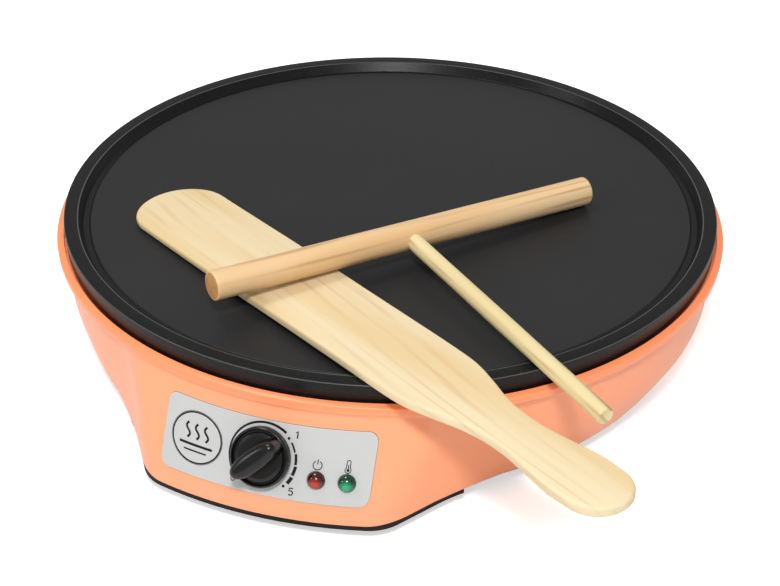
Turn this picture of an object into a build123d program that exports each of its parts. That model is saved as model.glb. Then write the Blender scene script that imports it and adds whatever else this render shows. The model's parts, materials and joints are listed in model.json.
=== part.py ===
from build123d import *
from math import asin, atan2, cos, degrees, pi, radians, sin, sqrt, tan
import os

# Electric crepe maker, in millimetres. +Z is up, the worktop is z = 0, the plate's axis is the Z axis
# and the control nose points along -Y. Azimuths are counted from the nose, positive towards +X.

# ---- driving dimensions ------------------------------------------------------------------------
rim_height = 65.0  # top of the plate's rim above the worktop
foot_height = 6.0
base_thickness = 2.3
shell_wall = 2.4
seam = 0.4  # how far the base cover is drawn in from the shell's edge

# cooking plate
plate_radius = 155.0
rim_width = 6.8
dish_depth = 3.4
groove_width = 2.4
groove_depth = 1.0
dish_wall_run = 2.4  # how far the dish's wall slopes in
plate_thickness = 4.0
skirt_height = 10.8
skirt_wall = 3.0
skirt_draft = 0.8
rim_edge = 0.8
boss_wall = 1.5

# shell: bowl, lip and control nose
lip_reach = 3.7  # past the plate's edge
lip_drop = 8.1  # from the rim's top down to the lip's top edge
lip_height = 4.8
lip_crown = 2.9  # from the lip's top edge down to where it is widest
lip_edge = 0.9
plate_clearance = 0.4
bowl_reach = 0.6  # past the plate's edge, just under the lip
bowl_lean = 6.7  # degrees from vertical
bowl_corner_radius = 31.6
bowl_corner_height = 35.7
nose_reach = 22.4  # past the plate's edge, at the nose's foot
nose_half_angle = 18.0
nose_flare = 32.0  # flanks from the nose's axis, degrees
nose_corner = 20.0  # rounding of its plan's front corners
nose_heel = 14.0
# where the nose's flanks sweep back: how far inside the plate's edge, and azimuth
nose_tail = ((4.5, 37.5), (6.0, 45.0), (10.5, 56.0), (19.0, 70.0), (22.6, 80.0))
tail_overlap = 0.3  # share of the flank that the tail starts on
nose_back_share = 0.72  # where the nose's hidden back lies between its flank ends and the axis
kick_height = 8.5
kick_lean = 17.0
panel_lean = 25.5  # degrees from vertical
boss_radius = 5.0
boss_height = 12.0
boss_rib_reach = 9.0
boss_rib_width = 3.0
boss_cover = 1.0  # shell left over the nose's screw bosses

# control panel, measured across and up the slope from the top of the kick
label_half_width = 47.4
label_rise = 29.3  # vertical height
label_corner = 4.2
label_thickness = 0.4
label_bond = 0.1  # glue under the foil
knob_up = 16.6
lamp_up = 9.95
lamp_across = (24.3, 37.4)

# knob and thermostat
knob_radius = 13.1
knob_gap = 0.6
skirt_thickness = 4.6
grip_height = 15.0  # above the panel
grip_width = 9.0
grip_top_width = 5.4
nut_across_flats = 14.0
nut_thickness = 2.4
nut_room = 0.9
bush_show = 0.6
bush_shoulder = 0.8
seat_gap = 0.2
knob_edge = 0.8
off_angle = 225.0  # the grip's direction at rest, anticlockwise from the panel's x
press_room = 0.02
clip_leaf = 0.5
clip_leaf_width = 2.4
spindle_radius = 3.0
spindle_flat = 0.8
spindle_running = 0.05
spindle_tip_wall = 2.6
bush_radius = 5.0
bush_room = 0.1
thermostat_width = 28.0
thermostat_rise = 21.0
thermostat_depth = 14.0
thermostat_corner = 1.5
tab_drop = 4.0
shoulder_radius = 7.0
tab_spacing = 14.0
tab_width = 6.3
tab_thickness = 0.8
tab_length = 7.0

# lamps
lens_radius = 4.0
lens_dome = 3.2
lens_barrel_radius = 3.1
lens_barrel_length = 7.0
lens_wall = 0.8
lamp_room = 0.1
neon_radius = 2.0
neon_length = 10.0
retainer_radius = 5.2
retainer_thickness = 0.5

# heating, placed inwards from the plate's edge
element_radius = 3.3
element_inset = 60.0
element_gap_angle = 40.0
element_bend = 12.0
element_end_inset = 37.0
lead_rise_room = 8.0
clamp_screw_head = 2.0
clamp_thickness = 1.5
clamp_width = 12.0
clamp_reach = 30.0
clamp_offset = 9.0
clamp_count = 4
clamp_boss_radius = 4.5
shield_inset = 12.0
shield_rim = 6.0
shield_wall = 0.6
shield_gap = 5.0  # from the element down to the shield
lead_hole_radius = 4.0

# plate fixing
post_inset = 43.0
post_azimuths = (0.0, 120.0, 240.0)
post_radius = 6.5
screw_radius = 2.0
screw_room = 0.1
screw_tip_room = 0.6
screw_head_radius = 4.0
screw_head = 2.6
boss_drop = 5.4
spacer_radius = 4.5
washer_radius = 5.5
washer_thickness = 0.8
plate_screw_bite = 1.6
tag_length = 14.0
tag_width = 5.0

# sensing bulb and fuse
bulb_radius = 2.5
bulb_length = 55.0
bulb_inset = 77.0
port_offset = -6.0
capillary_radius = 0.8
capillary_sag = 2.0
clip_wall = 0.6
clip_width = 8.0
clip_tab = 6.0
fuse_radius = 2.5
fuse_length = 20.0
fuse_offset = 46.0
fuse_inset = 63.0

# wiring
block_width = 30.0
block_depth = 18.0
block_height = 14.0
block_corner = 1.5
block_inset = 59.0
block_floor = 3.0
way_spacing = 9.0
way_screw_radius = 1.6
way_screw_sink = 1.0
lead_radius = 1.2
lead_bend = 5.0
lead_rest = 0.2  # above the base cover
lead_straight = 10.0
lead_drop = 15.0
live_route = ((-13.0, 10.0), (-14.0, -100.0))
neutral_route = ((-26.0, 20.0), (-20.0, -70.0))
switched_route = ((24.0, -122.0), (61.0, -96.0))
earth_route = (56.0, 40.0)
gland_bore = 3.7
gland_radius = 6.0
gland_flange = 9.0
gland_flange_thickness = 2.5
gland_length = 15.0
gland_height = 24.0
gland_boss_radius = 12.0
gland_seat = 0.6  # how far the seat stands out of the bowl

# base cover, its screws and the feet
base_heel = 4.0
base_inset = 5.0  # how far the base cover lies inside the bowl's foot
base_tail = 22.7  # how far back from the plate's front edge it follows the nose's flanks
vent_length = 24.0
vent_width = 3.0
vent_circles = ((62.0, 12, 15.0), (92.0, 18, 0.0))  # radius, count and first angle
base_screw_radius = 1.7
base_screw_length = 12.0
base_screw_head_radius = 3.4
base_screw_head = 2.2
nose_screw_inset = 17.4  # inside the nose's foot
nose_screw_azimuth = 17.5
bowl_screw_inset = 28.0  # inside the plate's edge
bowl_screw_azimuths = (85.0, 150.0)
foot_radius = 8.0
foot_draft = 1.0
foot_stem_radius = 3.0
foot_barb = 0.8
front_foot_inset = 27.5  # inside the nose's foot
front_foot_azimuth = 13.1
rear_foot_inset = 37.0  # inside the plate's edge
rear_foot_azimuth = 140.0

# wooden tools, laid on the plate
lay_gap = 0.08
spatula_length = 314.5
spatula_width = 45.6  # at the blade's tip
spatula_root_width = 42.4  # where the blade ends
spatula_thickness = 5.0
spatula_tip = 20.0
spatula_grip = 111.5  # the handle's length, from the blade's end
# shoulder, neck and grip: how far back from the handle's end, and half width
spatula_shape = ((92.5, 17.0), (61.5, 11.3), (22.5, 15.3))
spatula_heading = -32.2
spatula_point = (18.3, -110.6)  # a point of the spatula's axis in plan
spatula_tip_reach = 147.0  # from that point back to the blade's tip
spatula_edge = 1.4
bar_radius = 6.8
bar_length = 200.0
bar_heading = 50.0
bar_left = (-41.5, -120.0)
stick_radius = 4.0
stick_length = 152.0
wood_edge = 0.8

# ---- worked-out levels and places --------------------------------------------------------------
quarter_turn = degrees(pi / 2)
full_turn = degrees(2 * pi)
lip_radius = plate_radius + lip_reach
bowl_radius = plate_radius + bowl_reach
nose_radius = plate_radius + nose_reach
element_ring = plate_radius - element_inset
element_end_reach = plate_radius - element_end_inset
shield_radius = plate_radius - shield_inset
post_circle = plate_radius - post_inset
bulb_start = bulb_inset - plate_radius
fuse_place = (fuse_offset, fuse_inset - plate_radius)
block_place = plate_radius - block_inset
base_bottom = foot_height
shell_bottom = base_bottom + base_thickness
dish_floor = rim_height - dish_depth
plate_under = dish_floor - plate_thickness
skirt_bottom = rim_height - skirt_height
ledge = skirt_bottom
lip_top = rim_height - lip_drop
lip_bottom = lip_top - lip_height
opening_radius = plate_radius + plate_clearance
kick_top = shell_bottom + kick_height
kick_radius = nose_radius - kick_height * tan(radians(kick_lean))
element_height = plate_under - element_radius
element_under = element_height - element_radius
shield_top = element_under - shield_gap
shield_under = shield_top - shield_wall
post_top = shield_under - washer_thickness
boss_under = plate_under - boss_drop
bulb_height = plate_under - bulb_radius
lead_height = shell_bottom + lead_radius + lead_rest
bowl_slope = radians(bowl_lean)
bowl_tangent_height = bowl_corner_height - bowl_corner_radius * sin(bowl_slope)
bowl_corner_centre = (
    bowl_radius - (lip_bottom - bowl_tangent_height) * tan(bowl_slope) - bowl_corner_radius * cos(bowl_slope)
)

os.makedirs("parts", exist_ok=True)


def place(radius, azimuth):
    """Plan point at a radius and an azimuth from the nose."""
    return radius * sin(radians(azimuth)), -radius * cos(radians(azimuth))


def panel_plane(across, up, lift=0.0):
    """Plane on the sloping panel: x runs to the right, y up the slope and z straight out."""
    lean = radians(panel_lean)
    radius = kick_radius - up * sin(lean)
    turn = across / radius
    normal = Vector(sin(turn) * cos(lean), -cos(turn) * cos(lean), sin(lean))
    origin = Vector(radius * sin(turn), -radius * cos(turn), kick_top + up * cos(lean)) + normal * lift
    return Plane(origin=origin, x_dir=(cos(turn), sin(turn), 0), z_dir=normal)


def finish(node, name):
    """Name a piece and write it out."""
    node.part.label = name
    export_step(node.part, f"parts/{name}.step")


def bowl_face(inset, bottom, top):
    """Half section of the bowl, from the axis out to its wall drawn in by inset."""
    radius = bowl_corner_radius - inset
    start = degrees(asin((bowl_corner_height - bottom) / radius))
    with BuildSketch(Plane.XZ) as section:
        with BuildLine():
            corner = CenterArc((bowl_corner_centre, bowl_corner_height), radius, -start, start - bowl_lean)
            wall_top = (corner @ 1).X + (top - (corner @ 1).Y) * tan(bowl_slope)
            Polyline(corner @ 1, (wall_top, top), (0, top), (0, bottom), corner @ 0)
        make_face()
    return section.sketch


def nose_flank():
    """The two ends, in plan, of the nose's right flank: its front corner and where it meets the bowl."""
    corner = Vector(*place(nose_radius, nose_half_angle))
    back = Vector(sin(radians(nose_flare)), cos(radians(nose_flare)))
    along = corner.dot(back)
    return corner, corner + back * (-along - sqrt(along**2 - nose_radius**2 + bowl_radius**2))


def nose_plan(inset, heel):
    """Plan of the control nose: a front arc about the plate's axis and two flanks that flare back."""
    corner, end = nose_flank()
    hidden = end * nose_back_share
    with BuildSketch() as plan:
        with BuildLine():
            ThreePointArc((-corner.X, corner.Y), (0, -nose_radius), (corner.X, corner.Y))
            right = Polyline((corner.X, corner.Y), (end.X, end.Y), (hidden.X, hidden.Y), (0, hidden.Y))
            mirror(right, about=Plane.YZ)
        make_face()
        fillet(plan.vertices().group_by(Axis.Y)[1], radius=heel)
        fillet(plan.vertices().group_by(Axis.Y)[0], radius=nose_corner)
        if inset:
            offset(amount=-inset)
    return plan.sketch


def tail_plan(inset):
    """Plan of the two tails in which the nose's flanks sweep back into the bowl's foot."""
    corner, end = nose_flank()
    root = end + (corner - end) * tail_overlap
    start = root * (1 - inset / root.length)
    hidden = end * nose_back_share
    sweep_points = [place(plate_radius - depth - inset, azimuth) for depth, azimuth in nose_tail]
    with BuildSketch() as plan:
        with BuildLine():
            sweep_line = Spline(start, *sweep_points)
            Polyline(sweep_line @ 1, hidden, start)
        make_face()
        mirror(about=Plane.YZ)
    return plan.sketch


def nose_slope(inset, bottom, top):
    """Half section of the leaning front: the kick at the foot and the panel above it."""
    kick = tan(radians(kick_lean))
    panel = tan(radians(panel_lean))
    kick_out = kick_radius - inset / cos(radians(kick_lean))
    panel_out = kick_radius - inset / cos(radians(panel_lean))
    knee = (kick_out - panel_out) / (kick - panel) + kick_top
    knee_radius = kick_out - (knee - kick_top) * kick
    with BuildSketch(Plane.XZ) as section:
        with BuildLine():
            Polyline(
                (0, bottom),
                (kick_out + (kick_top - bottom) * kick, bottom),
                (knee_radius, knee),
                (panel_out - (top - kick_top) * panel, top),
                (0, top),
                close=True,
            )
        make_face()
    return section.sketch


def nose_block(plan, inset, bottom, top):
    """A plan of the control nose as a solid whose front leans back, drawn in by inset."""
    with BuildPart() as nose:
        with BuildSketch(Plane.XY.offset(bottom)):
            add(plan)
        extrude(amount=top - bottom)
        with BuildSketch(Plane.XZ):
            add(nose_slope(inset, bottom, top))
        revolve(axis=Axis.Z, mode=Mode.INTERSECT)
    return nose.part


def upright(plane):
    """Plane holding a placed plane's x and its normal, for profiles that turn about the normal."""
    return Plane(origin=plane.origin, x_dir=plane.x_dir, z_dir=-plane.y_dir)


def reach(point, heading, radius):
    """Distance in plan from a point, along a heading, to a circle about the plate's axis."""
    along = point[0] * cos(heading) + point[1] * sin(heading)
    return -along + sqrt(along**2 - point[0] ** 2 - point[1] ** 2 + radius**2)


def wire_run(name, points, radius, bends):
    """A round wire or tube along straight runs joined by arcs."""
    with BuildPart() as wire:
        with BuildLine() as route:
            FilletPolyline(*points, radius=bends)
        path = route.wire()
        with BuildSketch(Plane(origin=path @ 0, z_dir=path % 0)):
            Circle(radius)
        sweep(path=path)
    finish(wire, name)


# ---- shell -------------------------------------------------------------------------------------
nose_screw_reach = nose_radius - nose_screw_inset
bowl_screw_reach = plate_radius - bowl_screw_inset
boss_turns = [side * azimuth for azimuth in bowl_screw_azimuths for side in (-1, 1)]
nose_bosses = [place(nose_screw_reach, side * nose_screw_azimuth) for side in (-1, 1)]
bowl_bosses = [place(bowl_screw_reach, azimuth) for azimuth in boss_turns]
boss_room = (kick_radius - nose_screw_reach - boss_radius) / tan(radians(panel_lean))
nose_boss_top = kick_top + boss_room - boss_cover
outer_nose = nose_block(nose_plan(0.0, nose_heel), 0.0, shell_bottom, lip_bottom)
inner_nose = nose_block(nose_plan(shell_wall, nose_heel), shell_wall, shell_bottom, lip_bottom - shell_wall)
tails = nose_block(tail_plan(0.0), 0.0, shell_bottom, lip_bottom)
gland_face = bowl_corner_centre + bowl_corner_radius + gland_seat  # flat seat of the cord inlet
bowl_foot = bowl_corner_centre + sqrt(bowl_corner_radius**2 - (bowl_corner_height - shell_bottom) ** 2)

with BuildPart() as housing:
    with BuildSketch(Plane.XZ):
        add(bowl_face(0.0, shell_bottom, lip_bottom))
    revolve(axis=Axis.Z)
    add(outer_nose)
    add(tails)
    with BuildSketch(Plane.XZ):
        with BuildLine():
            rim = Line((0, lip_top), (opening_radius + lip_edge, lip_top))
            crown = (lip_radius, lip_top - lip_crown)
            rounding = Spline(rim @ 1, crown, (lip_radius - lip_edge / 2, lip_bottom))
            Polyline(rounding @ 1, (0, lip_bottom), (0, lip_top))
        make_face()
    revolve(axis=Axis.Z)
    # flat seat for the cord inlet
    with BuildSketch(Plane.XZ.offset(-gland_face)):
        with Locations((0, gland_height)):
            Circle(gland_boss_radius)
    extrude(amount=gland_boss_radius)
    # inside
    with BuildSketch(Plane.XZ):
        add(bowl_face(shell_wall, shell_bottom, ledge))
    revolve(axis=Axis.Z, mode=Mode.SUBTRACT)
    add(inner_nose, mode=Mode.SUBTRACT)
    with BuildSketch(Plane.XY.offset(ledge)):
        Circle(opening_radius)
    extrude(amount=skirt_height, mode=Mode.SUBTRACT)
    # screw bosses
    with BuildSketch(Plane.XY.offset(shell_bottom)):
        with Locations(*bowl_bosses):
            Circle(boss_radius)
        for azimuth in boss_turns:
            middle = place(bowl_screw_reach + boss_rib_reach / 2, azimuth)
            with Locations(Location((*middle, 0), (0, 0, azimuth - quarter_turn))):
                Rectangle(boss_rib_reach, boss_rib_width)
    extrude(amount=boss_height)
    with BuildSketch(Plane.XY.offset(shell_bottom)):
        with Locations(*nose_bosses):
            Circle(boss_radius)
    extrude(amount=nose_boss_top - shell_bottom)
    with BuildSketch(Plane.XY.offset(shell_bottom)):
        with Locations(*bowl_bosses, *nose_bosses):
            Circle(base_screw_radius + screw_room)
    extrude(amount=base_screw_length - base_thickness + screw_tip_room, mode=Mode.SUBTRACT)
    # openings of the control panel and the cord inlet
    with BuildSketch(panel_plane(0, knob_up)):
        Circle(bush_radius + bush_room)
    extrude(amount=2 * shell_wall, both=True, mode=Mode.SUBTRACT)
    for across in lamp_across:
        with BuildSketch(panel_plane(across, lamp_up)):
            Circle(lens_barrel_radius + lamp_room)
        extrude(amount=2 * shell_wall, both=True, mode=Mode.SUBTRACT)
    with BuildSketch(Plane.XZ.offset(-gland_face)):
        with Locations((0, gland_height)):
            Circle(gland_radius + bush_room)
    extrude(amount=gland_boss_radius, mode=Mode.SUBTRACT)
finish(housing, "housing")

# thin foil on the panel, with openings for the knob's nut and the lamps
with BuildPart() as control_label:
    with BuildSketch(Plane.XZ):
        with BuildLine():
            back = kick_radius + label_bond / cos(radians(panel_lean))
            front = kick_radius + label_thickness / cos(radians(panel_lean))
            run = label_rise * tan(radians(panel_lean))
            Polyline(
                (back, kick_top),
                (back - run, kick_top + label_rise),
                (front - run, kick_top + label_rise),
                (front, kick_top),
                close=True,
            )
        make_face()
    revolve(axis=Axis.Z)
    with BuildSketch(Plane.XZ):
        with Locations((0, kick_top + label_rise / 2)):
            RectangleRounded(2 * label_half_width, label_rise, label_corner)
    extrude(amount=nose_radius, mode=Mode.INTERSECT)
    with BuildSketch(panel_plane(0, knob_up)):
        Circle(bush_radius + bush_room)
    extrude(amount=2 * shell_wall, both=True, mode=Mode.SUBTRACT)
    for across in lamp_across:
        with BuildSketch(panel_plane(across, lamp_up)):
            Circle(lens_barrel_radius + lamp_room)
        extrude(amount=2 * shell_wall, both=True, mode=Mode.SUBTRACT)
finish(control_label, "control_label")

# ---- base cover, screws and feet ---------------------------------------------------------------
posts = [place(post_circle, azimuth) for azimuth in post_azimuths]
front_foot_reach = nose_radius - front_foot_inset
rear_foot_reach = plate_radius - rear_foot_inset
feet = {
    "foot_front_left": place(front_foot_reach, -front_foot_azimuth),
    "foot_front_right": place(front_foot_reach, front_foot_azimuth),
    "foot_rear_left": place(rear_foot_reach, -rear_foot_azimuth),
    "foot_rear_right": place(rear_foot_reach, rear_foot_azimuth),
}
block_screw = (way_spacing / 2, block_place)

with BuildSketch() as base_tails:
    add(tail_plan(seam))
    with Locations((0, -plate_radius)):
        Rectangle(2 * plate_radius, 2 * base_tail, mode=Mode.INTERSECT)

with BuildPart() as base_cover:
    with BuildSketch(Plane.XY.offset(base_bottom)):
        Circle(bowl_foot - base_inset)
        add(nose_plan(seam, base_heel))
        add(base_tails)
        with Locations(*bowl_bosses, *nose_bosses, block_screw):
            Circle(base_screw_radius + screw_room, mode=Mode.SUBTRACT)
        with Locations(*feet.values()):
            Circle(foot_stem_radius + screw_room, mode=Mode.SUBTRACT)
        for circle, count, first in vent_circles:
            with PolarLocations(circle, count, start_angle=first):
                SlotOverall(vent_length, vent_width, mode=Mode.SUBTRACT)
    extrude(amount=base_thickness)
    with BuildSketch(Plane.XY.offset(shell_bottom)):
        with Locations(*posts):
            Circle(post_radius)
    extrude(amount=post_top - shell_bottom)
    with BuildSketch(Plane.XY.offset(base_bottom)):
        with Locations(*posts):
            Circle(screw_radius + screw_room)
    extrude(amount=post_top - base_bottom, mode=Mode.SUBTRACT)
finish(base_cover, "base_cover")

for name, spot in feet.items():
    with BuildPart() as foot:
        with BuildSketch(Plane.XY):
            with Locations(spot):
                Circle(foot_radius - foot_draft)
        with BuildSketch(Plane.XY.offset(foot_height)):
            with Locations(spot):
                Circle(foot_radius)
        loft()
        with BuildSketch(Plane.XY.offset(foot_height)):
            with Locations(spot):
                Circle(foot_stem_radius)
        extrude(amount=base_thickness)
        with BuildSketch(Plane.XY.offset(shell_bottom)):
            with Locations(spot):
                Circle(foot_stem_radius + foot_barb)
        extrude(amount=2 * foot_barb, taper=degrees(atan2(foot_barb, 2 * foot_barb)))
        fillet(foot.edges().group_by(Axis.Z)[0], radius=foot_draft / 2)
    finish(foot, name)

with BuildPart() as base_screws:
    with BuildSketch(Plane.XY.offset(base_bottom - base_screw_head)):
        with Locations(*bowl_bosses, *nose_bosses):
            Circle(base_screw_head_radius)
    extrude(amount=base_screw_head)
    with BuildSketch(Plane.XY.offset(base_bottom)):
        with Locations(*bowl_bosses, *nose_bosses):
            Circle(base_screw_radius)
    extrude(amount=base_screw_length)
finish(base_screws, "base_screws")

# ---- cooking plate -----------------------------------------------------------------------------
rim_inner = plate_radius - rim_width
wall_foot = rim_inner - dish_wall_run
groove_inner = wall_foot - groove_width
clamp_circle = element_ring - clamp_offset
clamp_azimuths = [full_turn * (index + 1 / 2) / clamp_count for index in range(clamp_count)]
clamp_bosses = [place(clamp_circle, azimuth) for azimuth in clamp_azimuths]

with BuildPart() as cooking_plate:
    with BuildSketch(Plane.XZ) as section:
        with BuildLine():
            Polyline(
                (0, dish_floor),
                (groove_inner - groove_depth, dish_floor),
                (groove_inner, dish_floor - groove_depth),
                (wall_foot, dish_floor - groove_depth),
                (rim_inner, rim_height),
                (plate_radius, rim_height),
                (plate_radius - skirt_draft, skirt_bottom),
                (plate_radius - skirt_draft - skirt_wall, skirt_bottom),
                (plate_radius - skirt_wall, rim_height - skirt_wall),
                (rim_inner + skirt_draft, rim_height - skirt_wall),
                (wall_foot, plate_under),
                (0, plate_under),
                close=True,
            )
        make_face()
        crest = section.vertices().group_by(Axis.Y)[-1]
        fillet(crest, radius=rim_edge)
    revolve(axis=Axis.Z)
    with BuildSketch(Plane.XY.offset(boss_under)):
        with Locations(*posts):
            Circle(spacer_radius + boss_wall)
    extrude(amount=boss_drop)
    with BuildSketch(Plane.XY.offset(element_under)):
        with Locations(*clamp_bosses):
            Circle(clamp_boss_radius)
    extrude(amount=2 * element_radius)
    with BuildSketch(Plane.XY.offset(boss_under)):
        with Locations(*posts):
            Circle(screw_radius + screw_room)
    extrude(amount=boss_drop + plate_screw_bite, mode=Mode.SUBTRACT)
    with BuildSketch(Plane.XY.offset(element_under)):
        with Locations(*clamp_bosses):
            Circle(screw_radius + screw_room)
    extrude(amount=2 * element_radius, mode=Mode.SUBTRACT)
finish(cooking_plate, "cooking_plate")

# ---- heating element, its clamps and the heat shield -------------------------------------------
half_gap = element_gap_angle / 2
element_end = (element_ring + element_bend) * sin(radians(half_gap)) - element_bend
element_ends = [(-element_end, -element_end_reach), (element_end, -element_end_reach)]
lead_rise = element_end_reach + lead_rise_room
bulb_offset = -element_end / 2  # half way from the nose's post to the element's left end

with BuildPart() as heating_element:
    with BuildLine() as element_path:
        ring = CenterArc((0, 0), element_ring, half_gap - quarter_turn, full_turn - element_gap_angle)
        right = JernArc(ring @ 0, (ring % 0) * -1, element_bend, quarter_turn - half_gap)
        left = JernArc(ring @ 1, ring % 1, element_bend, half_gap - quarter_turn)
        Line(right @ 1, (element_end, -element_end_reach))
        Line(left @ 1, (-element_end, -element_end_reach))
    path = Location((0, 0, element_height)) * element_path.wire()
    with BuildSketch(Plane(origin=path @ 0, z_dir=path % 0)):
        Circle(element_radius)
    sweep(path=path)
finish(heating_element, "heating_element")

with BuildPart() as element_clamps:
    with BuildSketch(Plane.XY.offset(element_under - clamp_thickness)):
        for azimuth in clamp_azimuths:
            with Locations(Location((*place(element_ring, azimuth), 0), (0, 0, azimuth - quarter_turn))):
                RectangleRounded(clamp_reach, clamp_width, clamp_width / 4)
        with Locations(*clamp_bosses):
            Circle(screw_radius + screw_room, mode=Mode.SUBTRACT)
    extrude(amount=clamp_thickness)
finish(element_clamps, "element_clamps")

with BuildPart() as clamp_screws:
    with BuildSketch(Plane.XY.offset(element_under - clamp_thickness - clamp_screw_head)):
        with Locations(*clamp_bosses):
            Circle(screw_head_radius)
    extrude(amount=clamp_screw_head)
    with BuildSketch(Plane.XY.offset(element_under - clamp_thickness)):
        with Locations(*clamp_bosses):
            Circle(screw_radius)
    extrude(amount=clamp_thickness + 2 * element_radius - screw_tip_room)
finish(clamp_screws, "clamp_screws")

with BuildPart() as heat_shield:
    with BuildSketch(Plane.XZ):
        with BuildLine():
            Polyline(
                (0, shield_under),
                (shield_radius - shield_rim, shield_under),
                (shield_radius, shield_top + shield_rim),
                (shield_radius - shield_wall, shield_top + shield_rim),
                (shield_radius - shield_rim - shield_wall / 2, shield_top),
                (0, shield_top),
                close=True,
            )
        make_face()
    revolve(axis=Axis.Z)
    with BuildSketch(Plane.XY.offset(shield_under)):
        with Locations(*posts):
            Circle(screw_radius + screw_room)
        with Locations((-element_end, -lead_rise), (element_end, -lead_rise), (bulb_offset, -lead_rise)):
            Circle(lead_hole_radius)
    extrude(amount=shield_wall, mode=Mode.SUBTRACT)
finish(heat_shield, "heat_shield")

# ---- what clamps the plate to the base ---------------------------------------------------------
with BuildPart() as plate_spacers:
    with BuildSketch(Plane.XY.offset(shield_top)):
        with Locations(*posts):
            Circle(spacer_radius)
            Circle(screw_radius + screw_room, mode=Mode.SUBTRACT)
    extrude(amount=boss_under - shield_top)
finish(plate_spacers, "plate_spacers")

with BuildPart() as plate_washers:
    with BuildSketch(Plane.XY.offset(post_top)):
        with Locations(posts[0], posts[2]):
            Circle(washer_radius)
            Circle(screw_radius + screw_room, mode=Mode.SUBTRACT)
    extrude(amount=washer_thickness)
finish(plate_washers, "plate_washers")

tag_heading = degrees(atan2(-posts[1][1], -posts[1][0]))
with BuildPart() as earth_tag:
    with BuildSketch(Plane.XY.offset(post_top)):
        with Locations(posts[1]):
            Circle(washer_radius)
            with Locations(Location((0, 0, 0), (0, 0, tag_heading))):
                with Locations((tag_length / 2, 0)):
                    Rectangle(tag_length, tag_width)
            Circle(screw_radius + screw_room, mode=Mode.SUBTRACT)
    extrude(amount=washer_thickness)
finish(earth_tag, "earth_tag")

with BuildPart() as plate_screws:
    with BuildSketch(Plane.XY.offset(base_bottom - screw_head)):
        with Locations(*posts):
            Circle(screw_head_radius)
    extrude(amount=screw_head)
    with BuildSketch(Plane.XY.offset(base_bottom)):
        with Locations(*posts):
            Circle(screw_radius)
    extrude(amount=plate_under + plate_screw_bite - screw_tip_room - base_bottom)
finish(plate_screws, "plate_screws")

# ---- thermostat, spindle and knob, built on the panel ------------------------------------------
panel = panel_plane(0, knob_up)
out_axis = Axis(panel.origin, panel.z_dir)
body_front = -(shell_wall + bush_shoulder)
body_back = body_front - thermostat_depth
nut_base = label_thickness
bush_top = nut_base + nut_thickness + bush_show
knob_base = label_thickness + knob_gap
skirt_top = knob_base + skirt_thickness
grip_top = label_thickness + grip_height
spindle_top = grip_top - spindle_tip_wall
flat_base = bush_top + knob_gap


def on_panel(depth, across=0.0, up=0.0):
    """Plane parallel to the knob's seat at a depth along the panel's normal."""
    origin = panel.origin + panel.x_dir * across + panel.y_dir * up + panel.z_dir * depth
    return Plane(origin=origin, x_dir=panel.x_dir, z_dir=panel.z_dir)


with BuildPart() as thermostat:
    with BuildSketch(on_panel(body_back)):
        RectangleRounded(thermostat_width, thermostat_rise, thermostat_corner)
    extrude(amount=thermostat_depth)
    with BuildSketch(on_panel(body_front)):
        Circle(shoulder_radius)
    extrude(amount=bush_shoulder - seat_gap)
    with BuildSketch(on_panel(body_front)):
        Circle(bush_radius)
    extrude(amount=bush_top - body_front)
    with BuildSketch(on_panel(body_back + thermostat_depth / 2)):
        Circle(spindle_radius + spindle_running)
    extrude(amount=bush_top - body_back, mode=Mode.SUBTRACT)
finish(thermostat, "thermostat")

with BuildPart() as thermostat_tabs:
    with BuildSketch(on_panel(body_back - tab_length, up=-tab_drop)):
        with Locations((-tab_spacing / 2, 0), (tab_spacing / 2, 0)):
            Rectangle(tab_thickness, tab_width)
    extrude(amount=tab_length)
finish(thermostat_tabs, "thermostat_tabs")

with BuildPart() as thermostat_nut:
    with BuildSketch(on_panel(nut_base)):
        RegularPolygon(nut_across_flats / 2, 6, major_radius=False)
        Circle(bush_radius + bush_room, mode=Mode.SUBTRACT)
    extrude(amount=nut_thickness)
finish(thermostat_nut, "thermostat_nut")

with BuildPart() as thermostat_spindle:
    with BuildSketch(on_panel(body_back + thermostat_depth / 2 + knob_gap)):
        Circle(spindle_radius)
    extrude(amount=spindle_top - body_back - thermostat_depth / 2 - knob_gap)
    with BuildSketch(on_panel(flat_base)):
        with Locations((0, spindle_radius)):
            Rectangle(2 * spindle_radius, 2 * spindle_flat)
    extrude(amount=grip_height, mode=Mode.SUBTRACT)
finish(thermostat_spindle, "thermostat_spindle")

with BuildPart() as knob:
    with BuildSketch(on_panel(knob_base)):
        Circle(knob_radius)
    extrude(amount=skirt_thickness)
    fillet(knob.faces().sort_by(out_axis)[-1].edges(), radius=knob_edge)
    with BuildSketch(on_panel(skirt_top - knob_edge)):
        with Locations(Location((0, 0, 0), (0, 0, off_angle))):
            SlotOverall(2 * knob_radius - 2 * knob_edge, grip_width)
    with BuildSketch(on_panel(grip_top)):
        with Locations(Location((0, 0, 0), (0, 0, off_angle))):
            SlotOverall(2 * knob_radius - 5 * knob_edge, grip_top_width)
    loft()
    fillet(knob.faces().sort_by(out_axis)[-1].edges(), radius=knob_edge)
    with BuildSketch(on_panel(knob_base)):
        Circle(nut_across_flats / sqrt(3) + nut_room)
    extrude(amount=bush_top + knob_gap - knob_base, mode=Mode.SUBTRACT)
    with BuildSketch(on_panel(knob_base)):
        Circle(spindle_radius + press_room)
    extrude(amount=spindle_top + press_room - knob_base, mode=Mode.SUBTRACT)
finish(knob, "knob")

# spring leaf between the spindle's flat and the knob
with BuildPart() as knob_clip:
    with BuildSketch(on_panel(flat_base)):
        with Locations((0, spindle_radius - spindle_flat + clip_leaf / 2)):
            Rectangle(clip_leaf_width, clip_leaf)
    extrude(amount=spindle_top - flat_base)
finish(knob_clip, "knob_clip")

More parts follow.
